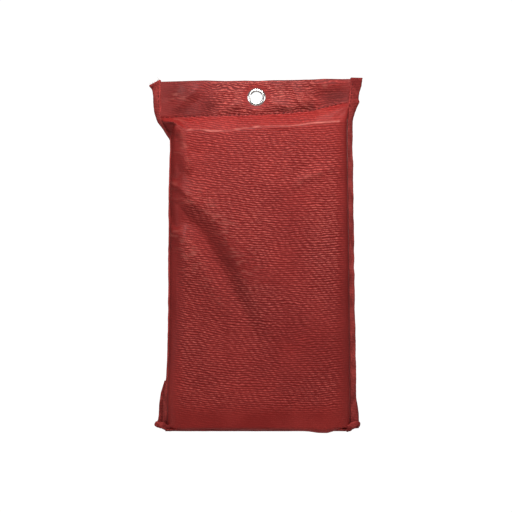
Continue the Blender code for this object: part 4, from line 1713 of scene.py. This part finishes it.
@dataclass
class Eyelet:
    """A pressed nickel eyelet with its curled flange in front and its washer behind."""

    places: Places
    steps: int = 72

    def ring(self, name: str, outline: Table, finishes: Finishes) -> bpy.types.Object:
        """Turns a closed outline of (radius, height) in millimetres into a ring.

        Args:
            name: the piece's name.
            outline: the outline's points, in order.
            finishes: the object's finishes.

        Returns:
            The ring, standing in its place.
        """
        p = self.places
        deselect()
        first = outline[0]
        bpy.ops.mesh.primitive_circle_add(
            vertices=self.steps, radius=first[0] * MM, fill_type="NOTHING", location=(0, 0, first[1] * MM)
        )
        piece = bpy.context.object
        piece.name = name
        piece.data.name = name
        bpy.ops.object.transform_apply(location=True, rotation=True, scale=True)
        bpy.ops.object.mode_set(mode="EDIT")
        bpy.ops.mesh.select_all(action="SELECT")
        for before, after in zip(outline, outline[1:]):
            bpy.ops.mesh.extrude_edges_move(
                TRANSFORM_OT_translate={"value": (0, 0, (after[1] - before[1]) * MM)}
            )
            grow = after[0] / before[0]
            bpy.ops.transform.resize(value=(grow, grow, 1), center_override=(0, 0, after[1] * MM))
        bpy.ops.object.mode_set(mode="OBJECT")
        mesh = piece.data
        index_of = {edge.key: edge.index for edge in mesh.edges}
        uses = np.zeros(len(mesh.edges), int)
        for polygon in mesh.polygons:
            for key in polygon.edge_keys:
                uses[index_of[key]] += 1
        for kind in (mesh.vertices, mesh.edges, mesh.polygons):
            kind.foreach_set("select", np.zeros(len(kind), bool))
        mesh.edges.foreach_set("select", uses == 1)
        bpy.ops.object.mode_set(mode="EDIT")
        bpy.ops.mesh.select_mode(type="EDGE")
        bpy.ops.mesh.bridge_edge_loops()
        bpy.ops.mesh.select_all(action="SELECT")
        bpy.ops.mesh.normals_make_consistent(inside=False)
        bpy.ops.object.mode_set(mode="OBJECT")
        bpy.ops.object.shade_smooth()
        smooth = piece.modifiers.new("smooth", "SUBSURF")
        smooth.levels = smooth.render_levels = 1
        apply_modifiers(piece)
        turn = Vector((0, 0, 1)).rotation_difference(p.eyelet_axis).to_matrix().to_4x4()
        piece.data.transform(Matrix.Translation(p.eyelet) @ turn)
        piece.data.materials.append(finishes.nickel)
        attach(piece, "header")
        return piece

    def build(self, finishes: Finishes) -> None:
        """Builds the barrel with its flange, and the washer.

        Args:
            finishes: the object's finishes.
        """
        barrel = self.ring(
            "eyelet_ring",
            (
                (4.85, -1.7), (4.85, 0.9), (5.0, 1.45), (5.4, 1.75), (5.9, 1.78), (6.5, 1.58), (7.1, 1.2),
                (7.45, 0.85), (7.5, 0.62), (7.35, 0.5), (6.9, 0.62), (6.2, 0.72), (5.6, 0.6), (5.5, 0.2),
                (5.5, -1.55), (5.75, -1.8), (6.2, -1.9), (6.35, -2.1), (6.2, -2.35), (5.75, -2.5),
                (5.2, -2.3), (4.95, -2.0),
            ),
            finishes,
        )
        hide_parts("eyelet_barrel")
        washer = self.ring(
            "eyelet_back_washer",
            (
                (5.6, -1.05), (6.4, -1.0), (7.3, -1.1), (7.4, -1.3), (7.2, -1.55), (6.6, -1.8), (6.0, -1.75),
                (5.6, -1.6),
            ),
            finishes,
        )
        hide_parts("eyelet_washer")
        log.info("eyelet: %d points", len(barrel.data.vertices) + len(washer.data.vertices))


# ---------------------------------------------------------------- the blanket and its tapes


@dataclass
class FoldedBlanket:
    """One square of woven glass cloth, folded seven ways across and then four ways up."""

    side: float = 1.0
    folds_across: int = 7
    folds_up: int = 4
    rows_up: int = 12
    turn_rows: int = 10
    pitch: float = 0.62 * MM
    thickness: float = 0.44 * MM

    def serpentine(self, reach: float, steps: int = 8, turn_steps: int = 6) -> tuple[Array, ...]:
        """A line folded back and forth, once for each fold across.

        Args:
            reach: the length of a run.
            steps: how many steps in each run.
            turn_steps: how many steps round each fold.

        Returns:
            The places along the runs, the places across them and the length of line up to each.
        """
        radius = self.pitch / 2
        half = reach / 2 - radius
        a: list[float] = []
        b: list[float] = []
        for leg in range(self.folds_across):
            way = 1 if leg % 2 == 0 else -1
            for k in range(steps + 1):
                a.append(way * (-half + 2 * half * k / steps))
                b.append(leg * self.pitch)
            if leg < self.folds_across - 1:
                for k in range(1, turn_steps):
                    turn = math.pi * k / turn_steps
                    a.append(way * (half + radius * math.sin(turn)))
                    b.append(leg * self.pitch + radius * (1 - math.cos(turn)))
        a_line, b_line = np.array(a), np.array(b)
        run = np.concatenate([[0], np.cumsum(np.hypot(np.diff(a_line), np.diff(b_line)))])
        return a_line, b_line, run

    def build(self, finishes: Finishes) -> bpy.types.Object:
        """Builds the folded cloth.

        Args:
            finishes: the object's finishes.

        Returns:
            The folded cloth.
        """
        low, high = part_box("folded_blanket")
        middle = (low + high) / 2
        width, height = high.x - low.x - 3.4 * MM, high.z - low.z - 7.5 * MM
        u, layer, u_run = self.serpentine(width)
        pack = self.pitch * self.folds_across
        layer = layer + self.pitch / 2
        rows_z: list[Array] = []
        rows_d: list[Array] = []
        rows_v: list[float] = []
        half = height / 2 - pack
        along_v = 0.0
        for leg in range(self.folds_up):
            way = 1 if leg % 2 == 0 else -1
            depth = leg * pack + (layer if way > 0 else pack - layer)
            for k in range(self.rows_up + 1):
                rows_z.append(np.full(len(u), way * (-half + 2 * half * k / self.rows_up)))
                rows_d.append(depth)
                rows_v.append(along_v + 2 * half * k / self.rows_up)
            along_v += 2 * half
            if leg == self.folds_up - 1:
                break
            centre = (leg + 1) * pack
            radius = np.abs(centre - depth)
            for k in range(1, self.turn_rows):
                turn = math.pi * k / self.turn_rows
                rows_z.append(way * (half + radius * math.sin(turn)))
                rows_d.append(centre - radius * math.cos(turn))
                rows_v.append(along_v + pack / 2 * turn)
            along_v += math.pi * pack / 2
        z, d = np.array(rows_z), np.array(rows_d) - self.folds_up * pack / 2
        v = np.array(rows_v)
        x = np.repeat(u[None, :], len(v), 0)
        x = x * (1 - 0.060 * (np.abs(d) / 0.010) ** 4) + 1.9 * MM
        corner = eased(height / 2 - 0.024, height / 2 - 0.006, z) * eased(-0.5, -1.0, x / (width / 2))
        x = x + 7.5 * MM * corner
        x = x + 5.5 * MM * eased(-0.2, -1.0, x / (width / 2)) * np.clip(-d / 0.0087, 0, 1) ** 2
        x = x + 0.25 * MM * cloth_noise(d / 0.0007, z / 0.040, 91) * np.abs(x) / 0.07
        z = z + 0.5 * MM * cloth_noise(x / 0.030, d / 0.0010, 92)
        bulge = 0.25 * MM * cloth_noise(x / 0.022, z / 0.030, 93)
        base = low.z + 0.8 * MM
        points = np.stack([x + middle.x, d + middle.y + bulge, z + base + height / 2], -1)
        uv = np.stack(np.broadcast_arrays(u_run[None, :], v[:, None]), -1)
        faces = grid_faces(len(v), len(u))
        piece = make_piece("glass_cloth", points.reshape(-1, 3), faces, finishes.glass, uv.reshape(-1, 2))
        thicken(piece, self.thickness, 0)
        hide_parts("folded_blanket")
        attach(piece, "blanket")
        log_size(piece)
        return piece


@dataclass
class PullTape:
    """A black webbing tape: sewn to the blanket, round the back's hem, and doubled into a tab."""

    side: Side
    thick: float = 1.15 * MM

    def path(self) -> Array:
        """The tape's side view, from the blanket to the end of the doubled tab.

        Returns:
            Points of (y, z) in metres.
        """
        tape_low, tape_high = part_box(f"{self.side.word}_pull_tape")
        tab_low, tab_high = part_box(f"{self.side.word}_pull_tab")
        inside, outside = tape_low.y + self.thick / 2, tape_high.y - self.thick / 2
        under = tape_low.z + self.thick / 2
        middle, radius = (inside + outside) / 2, (outside - inside) / 2
        squash = 1.1 * MM
        turn = np.linspace(0, np.pi, 14)
        down = np.linspace(tape_high.z + 8 * MM, under + squash, 24)
        points = [np.stack([np.full(len(down), inside), down], -1)]
        bend = np.stack([middle - radius * np.cos(turn), under + squash - squash * np.sin(turn)], -1)
        points.append(bend[1:-1])
        top = tab_high.z - self.thick / 2
        up = np.linspace(under + squash, top, 60)
        points.append(np.stack([np.full(len(up), outside), up], -1))
        over = np.linspace(0, np.pi, 9)[1:]
        half = self.thick / 2 + 0.03 * MM
        points.append(np.stack([outside + half - half * np.cos(over), top + half * np.sin(over)], -1))
        back = np.linspace(top, tab_low.z + 1 * MM, 29)[1:]
        points.append(np.stack([np.full(len(back), outside + 2 * half), back], -1))
        return np.concatenate(points)

    def build(self, finishes: Finishes, stitcher: Stitcher) -> None:
        """Builds the tape and its box stitches.

        Args:
            finishes: the object's finishes.
            stitcher: what sews the rows.
        """
        low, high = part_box(f"{self.side.word}_pull_tape")
        middle = (low.x + high.x) / 2
        width = high.x - low.x
        path = self.path()
        step = np.gradient(path, axis=0)
        step /= np.linalg.norm(step, axis=1)[:, None]
        normal = np.stack([step[:, 1], -step[:, 0]], -1)
        count = len(path)
        zeros = np.zeros(count)
        origins = np.stack([zeros + middle, path[:, 0], path[:, 1]], -1)
        outs = np.stack([zeros + 1, zeros, zeros], -1)
        acrosses = np.stack([zeros, normal[:, 0], normal[:, 1]], -1)
        half, thick = width / 2, self.thick / 2
        a = np.linspace(-half + thick, half - thick, 22)
        rib = 1 - 0.10 * (0.5 - 0.5 * np.cos(np.arange(len(a)) * np.pi))
        turn = np.linspace(0, np.pi, 6)[1:-1]
        ring = np.concatenate([
            np.stack([a, thick * rib], -1),
            np.stack([half - thick + thick * np.sin(turn), thick * np.cos(turn)], -1),
            np.stack([a[::-1], -thick * rib], -1),
            np.stack([-half + thick - thick * np.sin(turn), -thick * np.cos(turn)], -1),
        ])
        sections = np.repeat(ring[None], count, 0)
        name = f"pull_tape_{self.side.word}"
        piece = sweep(name, origins, outs, acrosses, sections, finishes.webbing)
        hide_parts(f"{self.side.word}_pull_tape", f"{self.side.word}_pull_tab")
        pivot = joint_place(f"{self.side.word}_tab_lift")
        tab = f"{self.side.word}_tab"
        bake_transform(piece)
        outer = float(path[-1, 0]) + self.thick / 2
        away = np.array([0.0, 1.0, 0.0])
        corners = self.box_stitch(middle, pivot.z + 7 * MM, pivot.z + 24 * MM, outer)
        lines = [(line, np.repeat(away[None], len(line), 0)) for line in corners]
        stitcher.sew(
            f"tab_stitches_{self.side.word}",
            lines,
            lambda obj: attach(obj, tab),
            "black_webbing",
            finishes.black_thread,
        )
        log_size(piece)

    def box_stitch(self, middle: float, low: float, high: float, y: float) -> list[Array]:
        """A stitched box with a cross in it.

        Args:
            middle: the box's place across.
            low: its lower edge.
            high: its upper edge.
            y: the outer face's place.

        Returns:
            The rows' end points.
        """
        half = 9 * MM
        a, b = middle - half, middle + half
        ends = [((a, low), (b, low)), ((b, low), (b, high)), ((b, high), (a, high)), ((a, high), (a, low))]
        ends += [((a, low), (b, high)), ((a, high), (b, low))]
        return [np.array([[x1, y, z1], [x2, y, z2]]) for (x1, z1), (x2, z2) in ends]


# ---------------------------------------------------------------- the fastening pads


@dataclass
class FasteningPads:
    """The loop pad on the back panel and the hook pad on the flap, each a backing full of pile."""

    spacing: float = 1.5 * MM
    margin: float = 1.5 * MM
    fibre: float = 0.10 * MM
    reach: float = 0.45 * MM
    rings: int = 5
    sides: int = 3

    def pad(self, node: str, body: str, facing: int, curl: float, finishes: Finishes) -> bpy.types.Object:
        """One pad: a rounded backing with a field of bent fibres.

        Args:
            node: the solid that it stands for.
            body: the body that carries it.
            facing: 1 where the pile looks along +Y, and -1 along -Y.
            curl: how far each fibre bends over, in shares of a loop.
            finishes: the object's finishes.

        Returns:
            The pad.
        """
        low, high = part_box(node)
        size = high - low
        deselect()
        bpy.ops.mesh.primitive_cube_add(size=1, location=(low + high) / 2)
        piece = bpy.context.object
        piece.name = f"{node}_pile"
        piece.data.name = piece.name
        piece.scale = (size.x, size.y * 0.45, size.z)
        piece.location.y -= facing * size.y * 0.27
        bpy.ops.object.transform_apply(location=True, rotation=True, scale=True)
        bevel = piece.modifiers.new("rounded", "BEVEL")
        bevel.width = size.y * 0.18
        bevel.segments = 2
        apply_modifiers(piece)
        start = (low.y + high.y) / 2 - facing * size.y * 0.06
        tall = size.y * 0.46
        points: list[tuple[float, float, float]] = []
        faces: list[list[int]] = []
        rng = np.random.default_rng(17 if facing > 0 else 18)
        columns, rows = (int((span - 2 * self.margin) / self.spacing) for span in (size.x, size.z))
        for i in range(columns):
            for j in range(rows):
                x = low.x + self.margin + (i + 0.5 * (j % 2)) * self.spacing + rng.uniform(-1, 1) * 0.1 * MM
                z = low.z + self.margin + j * self.spacing + rng.uniform(-1, 1) * 0.1 * MM
                lean = rng.uniform(-0.5, 0.5)
                base = len(points)
                for k in range(self.rings):
                    angle = math.pi * curl * k / (self.rings - 1)
                    px = x + self.reach * (1 - math.cos(angle)) * math.cos(lean)
                    pz = z + self.reach * (1 - math.cos(angle)) * math.sin(lean)
                    py = start + facing * tall * math.sin(min(angle, math.pi / 2) if curl < 0.8 else angle)
                    for turn in range(self.sides):
                        corner = 2 * math.pi * turn / self.sides
                        wide, deep = self.fibre * math.cos(corner), self.fibre * math.sin(corner)
                        points.append((px + wide, py, pz + deep))
                for ring_start in range(base, len(points) - self.sides, self.sides):
                    for m in range(self.sides):
                        a, b = ring_start + m, ring_start + (m + 1) % self.sides
                        faces.append([a, b, b + self.sides, a + self.sides])
                faces.append([base + m for m in range(self.sides)])
                faces.append([len(points) - 1 - m for m in range(self.sides)])
        pile = make_piece(f"{node}_fibres", np.array(points), faces, finishes.pile)
        outwards(pile)
        piece.data.materials.append(finishes.pile)
        deselect()
        pile.select_set(True)
        piece.select_set(True)
        bpy.context.view_layer.objects.active = piece
        bpy.ops.object.join()
        deselect()
        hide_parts(node)
        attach(piece, body)
        return piece

    def build(self, finishes: Finishes) -> None:
        """Builds the two pads.

        Args:
            finishes: the object's finishes.
        """
        self.pad("loop_pad", "pouch", 1, 1.0, finishes)
        self.pad("hook_pad", "flap_end", -1, 0.62, finishes)
        log.info("fastening pads built")


# ---------------------------------------------------------------- seams


@dataclass
class Seams:
    """The rows of thread that hold the pouch together."""

    places: Places
    stitcher: Stitcher

    def surface(self, name: str, xs: Array, zs: Array, facing: int) -> tuple[Array, Array]:
        """Finds a line on a cloth by looking at it along Y.

        Args:
            name: the cloth's name.
            xs: the line's places across.
            zs: the line's heights.
            facing: -1 to look from the front, and 1 from the back.

        Returns:
            The points found and the directions out of the cloth there.
        """
        piece = bpy.data.objects[name]
        points: list[tuple[float, float, float]] = []
        normals: list[tuple[float, float, float]] = []
        for x, z in zip(xs, zs):
            hit, place, normal, _ = piece.ray_cast(Vector((x, facing * 0.2, z)), Vector((0, -facing, 0)))
            if hit:
                points.append(tuple(place))
                normals.append(tuple(normal))
        return np.array(points), np.array(normals)

    def build(self) -> None:
        """Sews the cross seam and the rows beside the two edge tapes, in front and behind."""
        p = self.places
        for face, facing in (("front", -1), ("back", 1)):
            cloth = f"pouch_{face}_cloth"
            x = np.linspace(-0.074, 0.070, 160)
            z = along(SEAM_LINE, x) if face == "front" else np.full(160, p.hinge.z - 0.5 * MM)
            rows = [self.surface(cloth, x, z + 0.25 * MM, facing)]
            self.stitcher.sew(f"cross_seam_{face}", rows, p.bend_at_seam, "red_cloth")
            for side in Side:
                top = p.hinge.z + p.header_height * math.cos(p.lean) - 1.5 * MM
                z = np.linspace(top, 0.262, 30)
                x = along(SEAM_RUN[side], z) + side.value * 0.35 * MM
                rows = [self.surface(f"{side.word}_edge_tape", x, z, facing)]
                if len(rows[0][0]) > 2:
                    self.stitcher.sew(f"{side.word}_tape_row_{face}", rows, p.bend_at_seam, "red_binding")
        hem = p.flap_top - 4.8 * MM
        x = np.linspace(-0.070, 0.070, 120)
        rows = [self.surface("flap_back_cloth", x, np.full(120, hem), 1)]
        self.stitcher.sew("flap_hem_row", rows, lambda obj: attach(obj, "flap_end"), "red_cloth")


# ---------------------------------------------------------------- the studio


@dataclass
class Studio:
    """A pale floor, soft lights and a long lens in front of the pouch."""

    frame_height: float = 0.4147
    lens: float = 120.0
    sensor: float = 36.0
    elevation: float = 2.0
    aim: tuple = (-0.0004, 0.0, 0.1418)

    def light(self, name: str, place: tuple, target: tuple, size: float, power: float, tint: tuple) -> None:
        """Adds one soft square light.

        Args:
            name: its name.
            place: where it stands.
            target: what it points at.
            size: its side, in metres.
            power: in watts.
            tint: its colour.
        """
        data = bpy.data.lights.new(name, "AREA")
        data.shape = "SQUARE"
        data.size = size
        data.energy = power
        data.color = tint
        lamp = bpy.data.objects.new(name, data)
        lamp.location = place
        aim = Vector(target) - Vector(place)
        lamp.rotation_euler = aim.to_track_quat("-Z", "Y").to_euler()
        bpy.context.scene.collection.objects.link(lamp)

    def build_world(self) -> None:
        """A white world that the camera sees at full white and the object at a softer level."""
        world = bpy.data.worlds.new("studio_white")
        bpy.context.scene.world = world
        world.use_nodes = True
        graph = Graph(world.node_tree)
        world.node_tree.nodes.clear()
        seen = graph.add("Background", {"Color": (1, 1, 1, 1), "Strength": 1.05})
        felt = graph.add("Background", {"Color": (1.0, 0.99, 0.98, 1), "Strength": 0.12})
        path = graph.add("LightPath").outputs["Is Camera Ray"]
        both = graph.add("MixShader", {0: path, 1: felt.outputs[0], 2: seen.outputs[0]})
        graph.add("OutputWorld", {"Surface": both.outputs[0]})

    def build_floor(self) -> None:
        """A plain pale floor well below the pouch, with room for the pulled blanket."""
        deselect()
        bpy.ops.mesh.primitive_plane_add(size=1.8, location=(0, 0, -0.33))
        floor = bpy.context.object
        floor.name = "studio_floor"
        bpy.ops.object.transform_apply(location=True, rotation=True, scale=True)
        made, graph, shader = start_material("pale_floor", Roughness=0.85, Specular_IOR_Level=0.2)
        place = graph.add("TexCoord").outputs["Object"]
        grain = graph.noise(place, 30.0, 4)
        colour = graph.mix(grain, (0.80, 0.80, 0.79, 1), (0.86, 0.86, 0.85, 1))
        graph.tree.links.new(colour, shader.inputs["Base Color"])
        floor.data.materials.append(made)

    def build_camera(self) -> None:
        """The camera, level with the middle of the pouch and a little above it."""
        data = bpy.data.cameras.new("camera")
        data.lens = self.lens
        data.sensor_width = self.sensor
        data.clip_end = 50
        camera = bpy.data.objects.new("camera", data)
        distance = self.frame_height * self.lens / self.sensor
        up = math.radians(self.elevation)
        aim = Vector(self.aim)
        camera.location = aim + Vector((0, -math.cos(up), math.sin(up))) * distance
        camera.rotation_euler = (aim - camera.location).to_track_quat("-Z", "Y").to_euler()
        bpy.context.scene.collection.objects.link(camera)
        bpy.context.scene.camera = camera

    def build(self) -> None:
        """Builds the whole studio."""
        self.build_world()
        self.build_floor()
        self.build_camera()
        centre, white = (0.0, 0.0, 0.15), (1.0, 0.99, 0.98)
        self.light("key", (0.02, -0.40, 0.70), (0, 0, 0.16), 0.22, 5.4, (1.0, 0.985, 0.97))
        self.light("left_fill", (-1.1, -0.6, 0.40), centre, 0.7, 5.0, white)
        self.light("right_fill", (1.1, -0.6, 0.45), centre, 0.7, 3.6, white)
        self.light("back_fill", (0.3, 1.2, 0.7), centre, 1.0, 12.0, white)
        scene = bpy.context.scene
        scene.view_settings.view_transform = "Standard"
        scene.view_settings.look = "None"


def main() -> None:
    """Builds every sub-assembly in order."""
    Studio().build()
    places = Places()
    finishes = Finishes()
    stitcher = Stitcher(finishes)
    folds = FRONT_FOLDS + SHOULDER_FOLDS
    ClothWall(places, Face.FRONT, HEADER_FOLDS, folds, FRONT_RIDGE, seed=11, soil=FRONT_FOLD_SHADE).build(finishes)
    back_ridge: Table = ((-80, 249.0), (-40, 247.5), (0, 248.2), (40, 247.6), (80, 249.2))
    ClothWall(places, Face.BACK, BACK_HEADER_FOLDS, BACK_FOLDS, back_ridge, seed=37).build(finishes)
    Flap(places).build(finishes)
    for side in Side:
        EdgeBinding(places, side, seed=7 if side is Side.LEFT else 9).build(finishes)
    Eyelet(places).build(finishes)
    FoldedBlanket().build(finishes)
    for side in Side:
        PullTape(side).build(finishes, stitcher)
    FasteningPads().build(finishes)
    Seams(places, stitcher).build()


if __name__ == "__main__":
    main()
